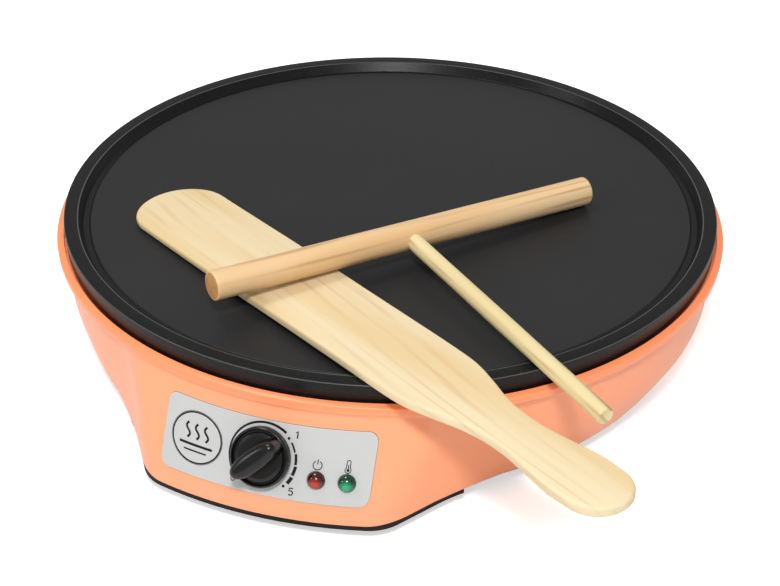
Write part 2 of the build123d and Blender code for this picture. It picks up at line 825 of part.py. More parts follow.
# ---- indicator lamps ---------------------------------------------------------------------------
for colour, across in zip(("red", "green"), lamp_across):
    seat = panel_plane(across, lamp_up, label_thickness)
    turning = Axis(seat.origin, seat.z_dir)
    bore = lens_barrel_radius - lens_wall
    with BuildPart() as lens:
        with BuildSketch(upright(seat)):
            with BuildLine():
                dome = TangentArc((0, lens_dome), (lens_radius, 0), tangent=(1, 0))
                Polyline(
                    dome @ 1,
                    (lens_barrel_radius, 0),
                    (lens_barrel_radius, -lens_barrel_length),
                    (bore, -lens_barrel_length),
                    (bore, -lens_wall),
                    (0, -lens_wall),
                    dome @ 0,
                )
            make_face()
        revolve(axis=turning)
    finish(lens, f"lens_{colour}")
    neon_top = -2 * lens_wall
    with BuildPart() as neon:
        with BuildSketch(upright(seat)):
            with BuildLine():
                glow = TangentArc((0, neon_top), (neon_radius, neon_top - neon_radius), tangent=(1, 0))
                Polyline(
                    glow @ 1,
                    (neon_radius, neon_top - neon_length),
                    (0, neon_top - neon_length),
                    glow @ 0,
                )
            make_face()
        revolve(axis=turning)
    finish(neon, f"neon_{colour}")

with BuildPart() as lens_retainers:
    for across in lamp_across:
        seat = panel_plane(across, lamp_up, -shell_wall - seat_gap - retainer_thickness)
        with BuildSketch(seat):
            Circle(retainer_radius)
            Circle(lens_barrel_radius + press_room, mode=Mode.SUBTRACT)
        extrude(amount=retainer_thickness)
finish(lens_retainers, "lens_retainers")

# ---- sensing bulb, its clip and the thermal fuse -----------------------------------------------
with BuildPart() as sensing_bulb:
    with BuildSketch(Plane.XZ.offset(-bulb_start)):
        with Locations((bulb_offset, bulb_height)):
            Circle(bulb_radius)
    extrude(amount=-bulb_length)
    fillet(sensing_bulb.edges().filter_by(GeomType.CIRCLE), radius=bulb_radius / 2)
finish(sensing_bulb, "sensing_bulb")


def strap(name, plane, radius):
    """Sheet strap over a rod that lies against a face: plane's y points at the face, z along the rod."""
    with BuildPart() as clip:
        with BuildSketch(plane):
            with Locations((0, radius - clip_wall / 2)):
                Rectangle(2 * (radius + clip_wall + clip_tab), clip_wall)
            Circle(radius + clip_wall)
            with Locations((0, radius / 2)):
                Rectangle(2 * (radius + clip_wall), radius)
            Circle(radius + press_room, mode=Mode.SUBTRACT)
            with Locations((0, radius)):
                Rectangle(2 * (radius + press_room), 2 * radius, mode=Mode.SUBTRACT)
            with Locations((0, radius + clip_wall)):
                Rectangle(4 * radius, 2 * clip_wall, mode=Mode.SUBTRACT)
        extrude(amount=clip_width / 2, both=True)
    finish(clip, name)


bulb_middle = (bulb_offset, bulb_start + bulb_length / 2, bulb_height)
strap("bulb_clip", Plane(origin=bulb_middle, x_dir=(-1, 0, 0), z_dir=(0, 1, 0)), bulb_radius)

fuse_height = shield_under - fuse_radius
with BuildPart() as thermal_fuse:
    with BuildSketch(Plane.YZ.offset(fuse_place[0] - fuse_length / 2)):
        with Locations((fuse_place[1], fuse_height)):
            Circle(fuse_radius)
    extrude(amount=fuse_length)
finish(thermal_fuse, "thermal_fuse")
strap("fuse_clip", Plane(origin=(*fuse_place, fuse_height), x_dir=(0, 1, 0), z_dir=(1, 0, 0)), fuse_radius)

# ---- terminal block and cord inlet -------------------------------------------------------------
block_top = shell_bottom + block_height
way_height = shell_bottom + block_height / 2
block_front = block_place - block_depth / 2
ways = [(index * way_spacing, block_place) for index in (-1, 0, 1)]

with BuildPart() as terminal_block:
    with BuildSketch(Plane.XY.offset(shell_bottom)):
        with Locations((0, block_place)):
            Rectangle(block_width, block_depth)
    extrude(amount=block_height)
    fillet(terminal_block.edges().filter_by(Axis.Z), radius=block_corner)
    with BuildSketch(Plane.XY.offset(block_top)):
        with Locations(*ways):
            Circle(way_screw_radius + screw_room)
    extrude(amount=lead_radius - block_height / 2, mode=Mode.SUBTRACT)
    with BuildSketch(Plane.XZ.offset(-block_front)):
        with Locations(*[(x, way_height) for x, y in ways]):
            Circle(lead_radius + screw_room)
    extrude(amount=-block_depth, mode=Mode.SUBTRACT)
    with BuildSketch(Plane.XY.offset(shell_bottom)):
        with Locations(block_screw):
            Circle(base_screw_radius + screw_room)
    extrude(amount=block_floor, mode=Mode.SUBTRACT)
finish(terminal_block, "terminal_block")

with BuildPart() as terminal_screws:
    with BuildSketch(Plane.XY.offset(way_height + lead_radius + press_room)):
        with Locations(*ways):
            Circle(way_screw_radius)
    extrude(amount=block_height / 2 - lead_radius - way_screw_sink)
finish(terminal_screws, "terminal_screws")

with BuildPart() as block_fixing:
    with BuildSketch(Plane.XY.offset(base_bottom - base_screw_head)):
        with Locations(block_screw):
            Circle(base_screw_head_radius)
    extrude(amount=base_screw_head)
    with BuildSketch(Plane.XY.offset(base_bottom)):
        with Locations(block_screw):
            Circle(base_screw_radius)
    extrude(amount=base_thickness + block_floor - screw_tip_room)
finish(block_fixing, "block_fixing")

with BuildPart() as cord_gland:
    with BuildSketch(Plane.XZ.offset(-gland_face - gland_flange_thickness)):
        with Locations((0, gland_height)):
            Circle(gland_flange)
    extrude(amount=gland_flange_thickness)
    with BuildSketch(Plane.XZ.offset(-gland_face)):
        with Locations((0, gland_height)):
            Circle(gland_radius)
    extrude(amount=gland_length - gland_flange_thickness)
    fillet(cord_gland.edges().group_by(Axis.Y)[-1], radius=gland_flange_thickness / 3)
    with BuildSketch(Plane.XZ.offset(-gland_face - gland_flange_thickness)):
        with Locations((0, gland_height)):
            Circle(gland_bore)
    extrude(amount=gland_length, mode=Mode.SUBTRACT)
finish(cord_gland, "cord_gland")

# ---- internal wiring ---------------------------------------------------------------------------
tab_ends = [on_panel(body_back - tab_length, side * tab_spacing / 2, -tab_drop).origin for side in (-1, 1)]
# where each tab's own line meets the level of the leads on the base cover
tab_turns = [end + panel.z_dir * ((lead_height - end.Z) / panel.z_dir.Z) for end in tab_ends]


def way_exit(index):
    """First three points of a lead that leaves the terminal block and drops onto the base cover."""
    x = index * way_spacing
    return [
        (x, block_front + way_screw_radius, way_height),
        (x, block_front - lead_straight, way_height),
        (x, block_front - lead_straight - lead_drop, lead_height),
    ]


wire_run(
    "lead_live",
    way_exit(0) + [(*spot, lead_height) for spot in live_route] + [tab_turns[0], tab_ends[0]],
    lead_radius,
    lead_bend,
)
wire_run(
    "lead_neutral",
    way_exit(-1)
    + [(*spot, lead_height) for spot in neutral_route]
    + [
        (-element_end, -lead_rise, lead_height),
        (-element_end, -lead_rise, element_height),
        (-element_end, -element_end_reach, element_height),
    ],
    lead_radius,
    lead_bend,
)
fuse_ends = [fuse_place[0] - fuse_length / 2, fuse_place[0] + fuse_length / 2]
wire_run(
    "lead_switched",
    [
        tab_ends[1],
        tab_turns[1],
        (*switched_route[0], lead_height),
        (*switched_route[1], lead_height),
        (fuse_ends[1] + lead_straight, fuse_place[1], fuse_height),
        (fuse_ends[1], fuse_place[1], fuse_height),
    ],
    lead_radius,
    lead_bend,
)
wire_run(
    "lead_element",
    [
        (fuse_ends[0], fuse_place[1], fuse_height),
        (element_end, fuse_place[1], fuse_height),
        (element_end, -lead_rise, fuse_height),
        (element_end, -lead_rise, element_height),
        (element_end, -element_end_reach, element_height),
    ],
    lead_radius,
    lead_bend,
)
tag_end = place(post_circle - tag_length + lead_radius, post_azimuths[1])
tag_foot = place(post_circle - tag_length - lead_straight, post_azimuths[1])
tag_under = post_top - lead_radius
wire_run(
    "lead_earth",
    way_exit(1)
    + [(*earth_route, lead_height), (*tag_foot, lead_height), (*tag_foot, tag_under), (*tag_end, tag_under)],
    lead_radius,
    lead_bend,
)
bulb_port = on_panel(body_back, port_offset, tab_drop)
port_reach = bulb_port.offset(-lead_straight).origin
wire_run(
    "capillary",
    [
        bulb_port.origin,
        port_reach,
        (bulb_offset, -lead_rise, port_reach.Z - capillary_sag),
        (bulb_offset, -lead_rise, bulb_height),
        (bulb_offset, bulb_start, bulb_height),
    ],
    capillary_radius,
    lead_bend,
)

# ---- wooden tools laid on the plate ------------------------------------------------------------
heading = radians(spatula_heading)
side = Vector(-sin(heading), cos(heading))  # to the left of the handle's direction
near_edge = Vector(*spatula_point) - side * (spatula_width / 2)
rim_run = spatula_tip_reach + reach((near_edge.X, near_edge.Y), heading, rim_inner)
spatula_pitch = atan2(dish_depth, rim_run)
tip = Vector(*spatula_point) - Vector(cos(heading), sin(heading)) * spatula_tip_reach
spatula_plane = Plane(
    origin=(tip.X, tip.Y, dish_floor + lay_gap),
    x_dir=(cos(heading) * cos(spatula_pitch), sin(heading) * cos(spatula_pitch), sin(spatula_pitch)),
    z_dir=(-cos(heading) * sin(spatula_pitch), -sin(heading) * sin(spatula_pitch), cos(spatula_pitch)),
)
spatula_blade = spatula_length - spatula_grip
handle_points = [(spatula_length - back, half_width) for back, half_width in spatula_shape]
with BuildPart() as spatula:
    with BuildSketch(spatula_plane):
        with BuildLine():
            EllipticalCenterArc(
                (spatula_tip, 0),
                spatula_tip,
                spatula_width / 2,
                start_angle=quarter_turn,
                arc_size=quarter_turn,
            )
            blade = Line((spatula_tip, spatula_width / 2), (spatula_blade, spatula_root_width / 2))
            Spline(blade @ 1, *handle_points, (spatula_length, 0), tangents=((1, 0), (0, -1)))
            mirror(about=Plane.XZ)
        make_face()
    extrude(amount=spatula_thickness)
    fillet(spatula.edges().filter_by(spatula_plane), radius=spatula_edge)
finish(spatula, "spatula")

bar_turn = radians(bar_heading)
bar_plan = Vector(cos(bar_turn), sin(bar_turn))
far_edge = Vector(*spatula_point) + side * (spatula_width / 2)
# where the bar's plan line crosses the spatula's far edge, from the bar's left end
crossing = (far_edge - Vector(*bar_left)).dot(side) / bar_plan.dot(side)
touch = Vector(*bar_left) + bar_plan * crossing
spatula_travel = (touch - tip).dot(Vector(cos(heading), sin(heading)))
under_touch = dish_floor + lay_gap + spatula_travel * tan(spatula_pitch)
touch_height = under_touch + spatula_thickness / cos(spatula_pitch) + lay_gap
bar_pitch = atan2(touch_height - dish_floor - lay_gap, bar_length - crossing)
middle = Vector(*bar_left) + bar_plan * (bar_length / 2)
middle_height = dish_floor + lay_gap + bar_length / 2 * tan(bar_pitch) + bar_radius / cos(bar_pitch)
stick_turn = bar_turn - pi / 2
rim_reach = reach((middle.X, middle.Y), stick_turn, plate_radius)
stick_pitch = atan2(middle_height - rim_height - stick_radius - lay_gap, rim_reach)
bar_way = Vector(bar_plan.X * cos(bar_pitch), bar_plan.Y * cos(bar_pitch), -sin(bar_pitch))
stick_way = Vector(cos(stick_turn) * cos(stick_pitch), sin(stick_turn) * cos(stick_pitch), -sin(stick_pitch))
joint = Vector(middle.X, middle.Y, middle_height)
joint_up = bar_way.cross(stick_way * -1)
stick_start = Plane(origin=joint, x_dir=bar_way, z_dir=bar_way.cross(joint_up))

with BuildPart() as spreader_bar:
    with BuildSketch(Plane(origin=joint, x_dir=joint_up, z_dir=bar_way)):
        Circle(bar_radius)
    extrude(amount=bar_length / 2, both=True)
    fillet(spreader_bar.edges().filter_by(GeomType.CIRCLE), radius=wood_edge)
    with BuildSketch(stick_start):
        Circle(stick_radius + press_room)
    extrude(amount=2 * bar_radius, mode=Mode.SUBTRACT)
finish(spreader_bar, "spreader_bar")

with BuildPart() as spreader_handle:
    with BuildSketch(stick_start):
        Circle(stick_radius)
    extrude(amount=stick_length)
    fillet(spreader_handle.edges().filter_by(GeomType.CIRCLE), radius=wood_edge)
finish(spreader_handle, "spreader_handle")
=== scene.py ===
import json
from math import acos, atan2, cos, hypot, pi, radians, sin, sqrt, tan

import bpy
import numpy as np
from mathutils import Matrix, Vector


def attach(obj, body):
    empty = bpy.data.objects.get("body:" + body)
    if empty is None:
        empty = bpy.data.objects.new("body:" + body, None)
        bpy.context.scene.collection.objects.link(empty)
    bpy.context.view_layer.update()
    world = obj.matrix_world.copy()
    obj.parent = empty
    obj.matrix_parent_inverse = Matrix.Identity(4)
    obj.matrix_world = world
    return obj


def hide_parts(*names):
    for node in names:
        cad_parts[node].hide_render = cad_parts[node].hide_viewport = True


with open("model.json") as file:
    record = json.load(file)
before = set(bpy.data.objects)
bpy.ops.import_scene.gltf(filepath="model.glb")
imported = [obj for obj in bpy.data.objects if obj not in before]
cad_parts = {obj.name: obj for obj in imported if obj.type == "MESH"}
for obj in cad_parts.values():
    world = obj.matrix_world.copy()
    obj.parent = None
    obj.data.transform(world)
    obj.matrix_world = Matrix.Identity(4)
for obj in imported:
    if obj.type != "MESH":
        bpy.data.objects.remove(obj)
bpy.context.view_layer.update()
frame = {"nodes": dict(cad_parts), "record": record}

# Lengths are in millimetres, as a maker would measure them, and become metres when a piece is made.
# Only the stage, the lights and the camera are in metres.
# Azimuths are counted in degrees from the control nose, positive towards +X.
MM = 0.001

RIM_HEIGHT = 65.0
SHELL_BOTTOM = 8.3
SHELL_WALL = 2.4

PLATE_RADIUS = 155.0
RIM_WIDTH = 6.8
RIM_INNER = PLATE_RADIUS - RIM_WIDTH
DISH_DEPTH = 3.4
DISH_FLOOR = RIM_HEIGHT - DISH_DEPTH
DISH_WALL_RUN = 2.4
GROOVE_WIDTH = 2.4
GROOVE_DEPTH = 1.0
PLATE_THICKNESS = 4.0
SKIRT_HEIGHT = 10.8
SKIRT_WALL = 3.0
SKIRT_DRAFT = 0.8
SATIN_RADIUS = 142.5  # the satin coating ends here
SMOOTH_RADIUS = 144.0  # and from here on it is smooth
INNER_EDGE_HIGHLIGHT = 0.25  # half the width of the painted highlight line on the rim's inner edge
OUTER_HIGHLIGHT_START = 0.55  # where the painted highlight starts, radius and height together, short of the rim's sharp outer edge
OUTER_HIGHLIGHT_FULL = 0.4

LIP_RADIUS = 158.7
LIP_TOP = 56.9
LIP_BOTTOM = 52.1
LIP_INSET = 0.25
LIP_UNDERCUT = 1.5  # how fast the lip's underside draws in, per millimetre of height
LIP_BLEND = 2.6
OPENING_RADIUS = 155.4
LEDGE = 54.2
LIP_PAINTED_SHADE = (50.0, 56.0)  # heights over which a painted shade deepens the plastic towards the lip
LIP_PAINTED_GLOW = (54.5, 56.6)  # heights over which the lip is given a painted glow

BOWL_RADIUS = 155.6
BOWL_LEAN = radians(6.7)
BOWL_CORNER_RADIUS = 31.6
BOWL_CORNER_HEIGHT = 35.7
BOWL_TANGENT_HEIGHT = BOWL_CORNER_HEIGHT - BOWL_CORNER_RADIUS * sin(BOWL_LEAN)
BOWL_CORNER_CENTRE = (
    BOWL_RADIUS - (LIP_BOTTOM - BOWL_TANGENT_HEIGHT) * tan(BOWL_LEAN) - BOWL_CORNER_RADIUS * cos(BOWL_LEAN)
)

NOSE_RADIUS = 177.4
NOSE_FLARE = 58.0  # azimuth that the nose's flank faces
FLANK_DISTANCE = 135.9  # from the plate's axis to the flank, square to it
FLANK_END = 38.0  # azimuth where the flank stops being flat
FLANK_FADE = 0.35  # how far it draws in for each degree past its end
FLANK_FADE_TURN = 55.0
NOSE_CORNER_FOOT = 8.0
NOSE_CORNER_TOP = 5.0
KICK_TOP = 16.8
KICK_LEAN = radians(17.0)
KICK_BLEND = 0.8
PANEL_LEAN = radians(25.5)
KICK_RADIUS = NOSE_RADIUS - (KICK_TOP - SHELL_BOTTOM) * tan(KICK_LEAN)

# how softly the nose runs into the bowl: tight over the panel, wide beside the flank and at its foot
PANEL_BLEND = 3.0
FLANK_BLEND = 4.0
FOOT_BLEND = 20.0
PANEL_BLEND_END = 17.5  # azimuths between which the tight blend turns into the wide one
FLANK_BLEND_START = 27.0

LABEL_HALF_WIDTH = 47.4
LABEL_RISE = 29.3
LABEL_CORNER = 4.2
LABEL_THICKNESS = 0.4
FOIL_SPAN = 2.0
PRINT_LIFT = LABEL_THICKNESS + 0.02
PRINT_SPAN = 1.0
KNOB_UP = 16.6
LAMP_UP = 9.95
LAMPS_ACROSS = {"red": 24.3, "green": 37.4}

KNOB_RADIUS = 13.1
KNOB_BASE = 1.0
OFF_ANGLE = radians(225.0)
GRIP_TOP = 15.4
GRIP_FOOT = 3.4
GRIP_HALF_LENGTH = 12.3
GRIP_HALF_WIDTH = 4.5
GRIP_TAPER = 0.6
GRIP_FLARE = 1.0
GRIP_SHOULDER = 0.74  # share of the grip's height at which its top starts to round over
GRIP_CROWN_LENGTH = 3.0  # how far the rounded top draws in at the ends and at the sides
GRIP_CROWN_WIDTH = 3.9
GRIP_PINCH = 0.12
GRIP_SAG = 0.25
GRIP_SAG_REACH = 13.0
LENS_RADIUS = 4.0
LENS_DOME = 3.2
LENS_BARREL = 3.1
LENS_DEPTH = 7.0
LENS_SINK = 0.05
# painted light in the lenses: full up to a radius about a spot dropped below the middle, fading into a
# painted shade by the rim radius
LENS_PAINTED_LIGHT_CORE = 0.3
LENS_PAINTED_LIGHT_DROP = 1.3
LENS_PAINTED_SHADE_RADIUS = 3.8

GLAND_HEIGHT = 24.0
GLAND_FACE = 154.055
SEAT_BORE = 6.2
SEAT_RADIUS = 12.0
SEAT_DEPTH = 9.0

LAY_GAP = 0.08
SPATULA_LENGTH = 314.5
SPATULA_WIDTH = 45.6
SPATULA_THICKNESS = 5.0
SPATULA_HEADING = -32.2
SPATULA_POINT = Vector((18.3, -110.6))  # a spot on the spatula's middle line
SPATULA_POINT_TO_TIP = 147.0
TIP_LENGTH = 20.0
BLADE_LENGTH = 190.0
BLADE_THINNING = 1.4
HANDLE_END_START = 299.0
HANDLE_END_HALF_WIDTH = 15.0
ROUND_OVER = 1.5
BAR_RADIUS = 6.8
BAR_LENGTH = 200.0
BAR_HEADING = 50.0
BAR_LEFT = Vector((-41.5, -120.0))
STICK_RADIUS = 4.0
STICK_LENGTH = 152.0
DOWEL_SANDING = 0.06
DOWEL_SWELL = 0.05
DOWEL_SWELL_LENGTH = 17.0
DOWEL_SWELL_TWIST = 31.0


# ---- node groups -------------------------------------------------------------------------------
NOISE_SPAN = (0.3, 0.7)  # where nearly all of a noise texture's values lie


def add_node(tree, kind, **settings):
    node = tree.nodes.new(kind)
    for name, value in settings.items():
        setattr(node, name, value)
    return node


def set_inputs(node, **values):
    """Plain values for a node's inputs, whose names are written with underscores for spaces."""
    for name, value in values.items():
        node.inputs[name.replace("_", " ")].default_value = value


def connect(tree, *pairs):
    """Feed each target socket from another node's socket or from a plain value."""
    for source, target in pairs:
        if isinstance(source, bpy.types.NodeSocket):
            tree.links.new(source, target)
        else:
            target.default_value = source


def new_finish(name, inputs):
    """A shader group with named inputs, (name, kind, value) each, and the outputs of a finish."""
    tree = bpy.data.node_groups.new(name, "ShaderNodeTree")
    for label, kind, value in inputs:
        socket = tree.interface.new_socket(label, in_out="INPUT", socket_type=f"NodeSocket{kind}")
        socket.default_value = value
    for label, kind in (("Colour", "Color"), ("Roughness", "Float"), ("Height", "Float")):
        tree.interface.new_socket(label, in_out="OUTPUT", socket_type=f"NodeSocket{kind}")
    return tree, tree.nodes.new("NodeGroupInput").outputs, tree.nodes.new("NodeGroupOutput").inputs


def metres(*lengths):
    return [length * MM for length in lengths]


def own_place(tree):
    """A spot in the piece's own coordinates, in metres."""
    return add_node(tree, "ShaderNodeTexCoord").outputs["Object"]


def stretched(tree, place, stretch):
    mapping = add_node(tree, "ShaderNodeMapping")
    set_inputs(mapping, Scale=stretch)
    connect(tree, (place, mapping.inputs["Vector"]))
    return mapping.outputs["Vector"]


def own_height(tree):
    """Height of a spot in the piece's own coordinates, in metres."""
    split = add_node(tree, "ShaderNodeSeparateXYZ")
    connect(tree, (own_place(tree), split.inputs["Vector"]))
    return split.outputs["Z"]


def axis_distance(tree, drop=0.0):
    """Distance of a spot from the piece's own Z axis, in metres, with the axis moved down its Y."""
    moved = add_node(tree, "ShaderNodeVectorMath", operation="ADD")
    flat = add_node(tree, "ShaderNodeVectorMath", operation="MULTIPLY")
    distance = add_node(tree, "ShaderNodeVectorMath", operation="LENGTH")
    connect(
        tree,
        (own_place(tree), moved.inputs[0]),
        (metres(0, drop, 0), moved.inputs[1]),
        (moved.outputs["Vector"], flat.inputs[0]),
        ((1, 1, 0), flat.inputs[1]),
        (flat.outputs["Vector"], distance.inputs[0]),
    )
    return distance.outputs["Value"]


def noise(tree, place, scale=1.0, detail=2.0):
    texture = add_node(tree, "ShaderNodeTexNoise")
    set_inputs(texture, Scale=scale, Detail=detail)
    connect(tree, (place, texture.inputs["Vector"]))
    return texture.outputs["Fac"]


def ranged(tree, value, taken, given=(0.0, 1.0), easing="LINEAR"):
    """A value mapped from one range to another, kept inside it."""
    node = add_node(tree, "ShaderNodeMapRange", interpolation_type=easing)
    set_inputs(node, From_Min=taken[0], From_Max=taken[1], To_Min=given[0], To_Max=given[1])
    connect(tree, (value, node.inputs["Value"]))
    return node.outputs["Result"]


def worked_out(tree, operation, *terms):
    """The result of a sum on sockets or plain numbers."""
    node = add_node(tree, "ShaderNodeMath", operation=operation)
    connect(tree, *zip(terms, node.inputs))
    return node.outputs["Value"]


def mixed(tree, share, first, second, blend_type="MIX"):
    """The first colour with a share of the second."""
    node = add_node(tree, "ShaderNodeMix", data_type="RGBA", blend_type=blend_type)
    connect(tree, (share, node.inputs["Factor"]), (first, node.inputs["A"]), (second, node.inputs["B"]))
    return node.outputs["Result"]


def build_moulded_skin():
    """Fine spark-eroded texture of moulded plastic, with a slow drift in shade and gloss."""
    tree, given, result = new_finish(
        "moulded_skin",
        [("Colour", "Color", (0.5, 0.5, 0.5, 1)), ("Roughness", "Float", 0.4), ("Drift", "Float", 0.05)],
    )
    place = own_place(tree)
    drift = ranged(tree, noise(tree, place, scale=18.0, detail=3.0), NOISE_SPAN, (-1.0, 1.0))
    shade = add_node(tree, "ShaderNodeHueSaturation")
    connect(
        tree,
        (given["Colour"], shade.inputs["Color"]),
        (worked_out(tree, "MULTIPLY_ADD", drift, given["Drift"], 1.0), shade.inputs["Value"]),
        (shade.outputs["Color"], result["Colour"]),
        (worked_out(tree, "MULTIPLY_ADD", drift, given["Drift"], given["Roughness"]), result["Roughness"]),
        (noise(tree, place, scale=1400.0), result["Height"]),
    )
    return tree


def build_drawn_metal():
    """Streaks and blotches of drawn or rolled metal."""
    tree, given, result = new_finish(
        "drawn_metal",
        [
            ("Colour", "Color", (0.6, 0.6, 0.6, 1)),
            ("Tarnish", "Color", (0.3, 0.3, 0.3, 1)),
            ("Roughness", "Float", 0.35),
        ],
    )
    place = own_place(tree)
    streak = noise(tree, stretched(tree, place, (1, 1, 9)), scale=260.0, detail=4.0)
    tarnished = ranged(tree, noise(tree, place, scale=60.0, detail=3.0), (0.45, 0.75), (0.0, 0.35))
    rougher = ranged(tree, streak, NOISE_SPAN, (-0.08, 0.1))
    connect(
        tree,
        (mixed(tree, tarnished, given["Colour"], given["Tarnish"]), result["Colour"]),
        (worked_out(tree, "ADD", rougher, given["Roughness"]), result["Roughness"]),
        (streak, result["Height"]),
    )
    return tree


def build_wood_grain():
    """Long grain of a pale, sanded wood. The grain runs along a heading in plan."""
    tree, given, result = new_finish(
        "wood_grain",
        [
            ("Pale", "Color", (0.9, 0.8, 0.6, 1)),
            ("Warm", "Color", (0.8, 0.6, 0.35, 1)),
            ("Vein", "Color", (0.5, 0.32, 0.16, 1)),
            ("Veins", "Float", 0.3),
            ("Heading", "Float", 0.0),
        ],
    )
    along = add_node(tree, "ShaderNodeVectorRotate", rotation_type="Z_AXIS", invert=True)
    connect(tree, (own_place(tree), along.inputs["Vector"]), (given["Heading"], along.inputs["Angle"]))
    grain = along.outputs["Vector"]
    broad = noise(tree, stretched(tree, grain, (5, 60, 60)), detail=3.0)
    pores = noise(tree, stretched(tree, grain, (60, 1500, 1500)))
    patch = noise(tree, stretched(tree, grain, (22, 30, 30)), detail=1.0)
    rings = add_node(tree, "ShaderNodeTexWave", wave_type="BANDS", bands_direction="DIAGONAL")
    set_inputs(rings, Scale=0.55, Distortion=7.0, Detail=3.0, Detail_Scale=0.7)
    connect(tree, (stretched(tree, grain, (8, 150, 150)), rings.inputs["Vector"]))
    vein = ranged(tree, rings.outputs["Fac"], (0.72, 1.0))
    strength = worked_out(tree, "MULTIPLY", vein, given["Veins"])
    vein_share = worked_out(tree, "MULTIPLY", strength, ranged(tree, patch, (0.42, 0.66), (0.15, 1.0)))
    ground = mixed(tree, ranged(tree, broad, (0.38, 0.66)), given["Pale"], given["Warm"])
    connect(
        tree,
        (mixed(tree, vein_share, ground, given["Vein"]), result["Colour"]),
        (ranged(tree, broad, NOISE_SPAN, (0.46, 0.6)), result["Roughness"]),
        (worked_out(tree, "ADD", pores, vein), result["Height"]),
    )
    return tree


def build_lens_tint_painted_light():
    """Clear coloured plastic with painted light: a lit heart low in the lens, fading to a painted shade at
    its rim.
    """
    tree, given, result = new_finish(
        "lens_tint",
        [("PaintedShadeRim", "Color", (0.03, 0.03, 0.03, 1)), ("PaintedLightHeart", "Color", (0.4, 0.4, 0.4, 1))],
    )
    distance = axis_distance(tree, drop=LENS_PAINTED_LIGHT_DROP)
    painted_shade_share = ranged(tree, distance, metres(LENS_PAINTED_LIGHT_CORE, LENS_PAINTED_SHADE_RADIUS), easing="SMOOTHSTEP")
    ripple = noise(tree, own_place(tree), scale=900.0)
    connect(
        tree,
        (mixed(tree, painted_shade_share, given["PaintedLightHeart"], given["PaintedShadeRim"]), result["Colour"]),
        (ranged(tree, ripple, NOISE_SPAN, (0.06, 0.12)), result["Roughness"]),
        (ripple, result["Height"]),
    )
    return tree


MOULDED_SKIN = build_moulded_skin()
DRAWN_METAL = build_drawn_metal()
WOOD_GRAIN = build_wood_grain()
LENS_TINT_PAINTED_LIGHT = build_lens_tint_painted_light()


# ---- materials ---------------------------------------------------------------------------------
def linear(red, green, blue):
    """A colour written as 0 to 255 screen values, as the linear colour that a shader takes."""
    def decode(value):
        share = value / 255
        return share / 12.92 if share <= 0.04045 else ((share + 0.055) / 1.055) ** 2.4

    return (decode(red), decode(green), decode(blue), 1.0)


def new_material(name):
    material = bpy.data.materials.new(name)
    material.use_nodes = True
    return material, material.node_tree, material.node_tree.nodes["Principled BSDF"]


def add_relief(tree, skin, height, bump, reach):
    """Let a height stand out of a material's skin. The bump is a strength, the reach in millimetres."""
    relief = add_node(tree, "ShaderNodeBump")
    set_inputs(relief, Strength=bump, Distance=reach * MM)
    connect(tree, (height, relief.inputs["Height"]), (relief.outputs["Normal"], skin.inputs["Normal"]))


def finish_from(name, group, values, bump, reach, **uniform):
    """A material whose colour, roughness and height come from a shared group."""
    material, tree, skin = new_material(name)
    set_inputs(skin, **uniform)
    texture = add_node(tree, "ShaderNodeGroup", node_tree=group)
    set_inputs(texture, **values)
    connect(
        tree,
        (texture.outputs["Colour"], skin.inputs["Base Color"]),
        (texture.outputs["Roughness"], skin.inputs["Roughness"]),
    )
    add_relief(tree, skin, texture.outputs["Height"], bump, reach)
    return material


def moulded(name, colour, roughness, drift=0.04, bump=0.15, **uniform):
    values = {"Colour": linear(*colour), "Roughness": roughness, "Drift": drift}
    return finish_from(name, MOULDED_SKIN, values, bump, reach=0.05, **uniform)


def metal(name, colour, tarnish, roughness):
    values = {"Colour": linear(*colour), "Tarnish": linear(*tarnish), "Roughness": roughness}
    return finish_from(name, DRAWN_METAL, values, bump=0.2, reach=0.03, Metallic=1.0)


def wood(name, pale, warm, vein, veins, heading):
    values = {
        "Pale": linear(*pale),
        "Warm": linear(*warm),
        "Vein": linear(*vein),
        "Veins": veins,
        "Heading": radians(heading),
    }
    return finish_from(name, WOOD_GRAIN, values, bump=0.25, reach=0.08, Specular_IOR_Level=0.35)


def lens(name, rim, heart):
    # rim and heart: the lens's tint in painted shade at its rim and in painted light at its heart
    values = {"PaintedShadeRim": linear(*rim), "PaintedLightHeart": linear(*heart)}
    gloss = {"Coat_Weight": 0.5, "Coat_Roughness": 0.05, "Specular_IOR_Level": 0.4}
    return finish_from(name, LENS_TINT_PAINTED_LIGHT, values, bump=0.05, reach=0.02, **gloss)


def make_shell_plastic():
    """Glossy salmon plastic, with a painted shade that makes it deeper and more orange towards the thick
    lip and a painted glow on the lip.
    """
    gloss = {"Coat_Weight": 0.14, "Coat_Roughness": 0.12, "Specular_IOR_Level": 0.35}
    material = moulded("salmon_shell", (252, 163, 121), 0.34, drift=0.01, bump=0.06, **gloss)
    tree = material.node_tree
    skin = tree.nodes["Principled BSDF"]
    plain = skin.inputs["Base Color"].links[0].from_socket
    height = own_height(tree)
    # painted shade: the colour deepens towards the lip; painted glow: an orange emission on the lip's top
    painted_lip_shade = ranged(tree, height, metres(*LIP_PAINTED_SHADE))
    connect(
        tree,
        (mixed(tree, painted_lip_shade, plain, linear(255, 226, 206), "MULTIPLY"), skin.inputs["Base Color"]),
        (linear(255, 132, 70), skin.inputs["Emission Color"]),
        (ranged(tree, height, metres(*LIP_PAINTED_GLOW), (0.0, 0.16)), skin.inputs["Emission Strength"]),
    )
    return material


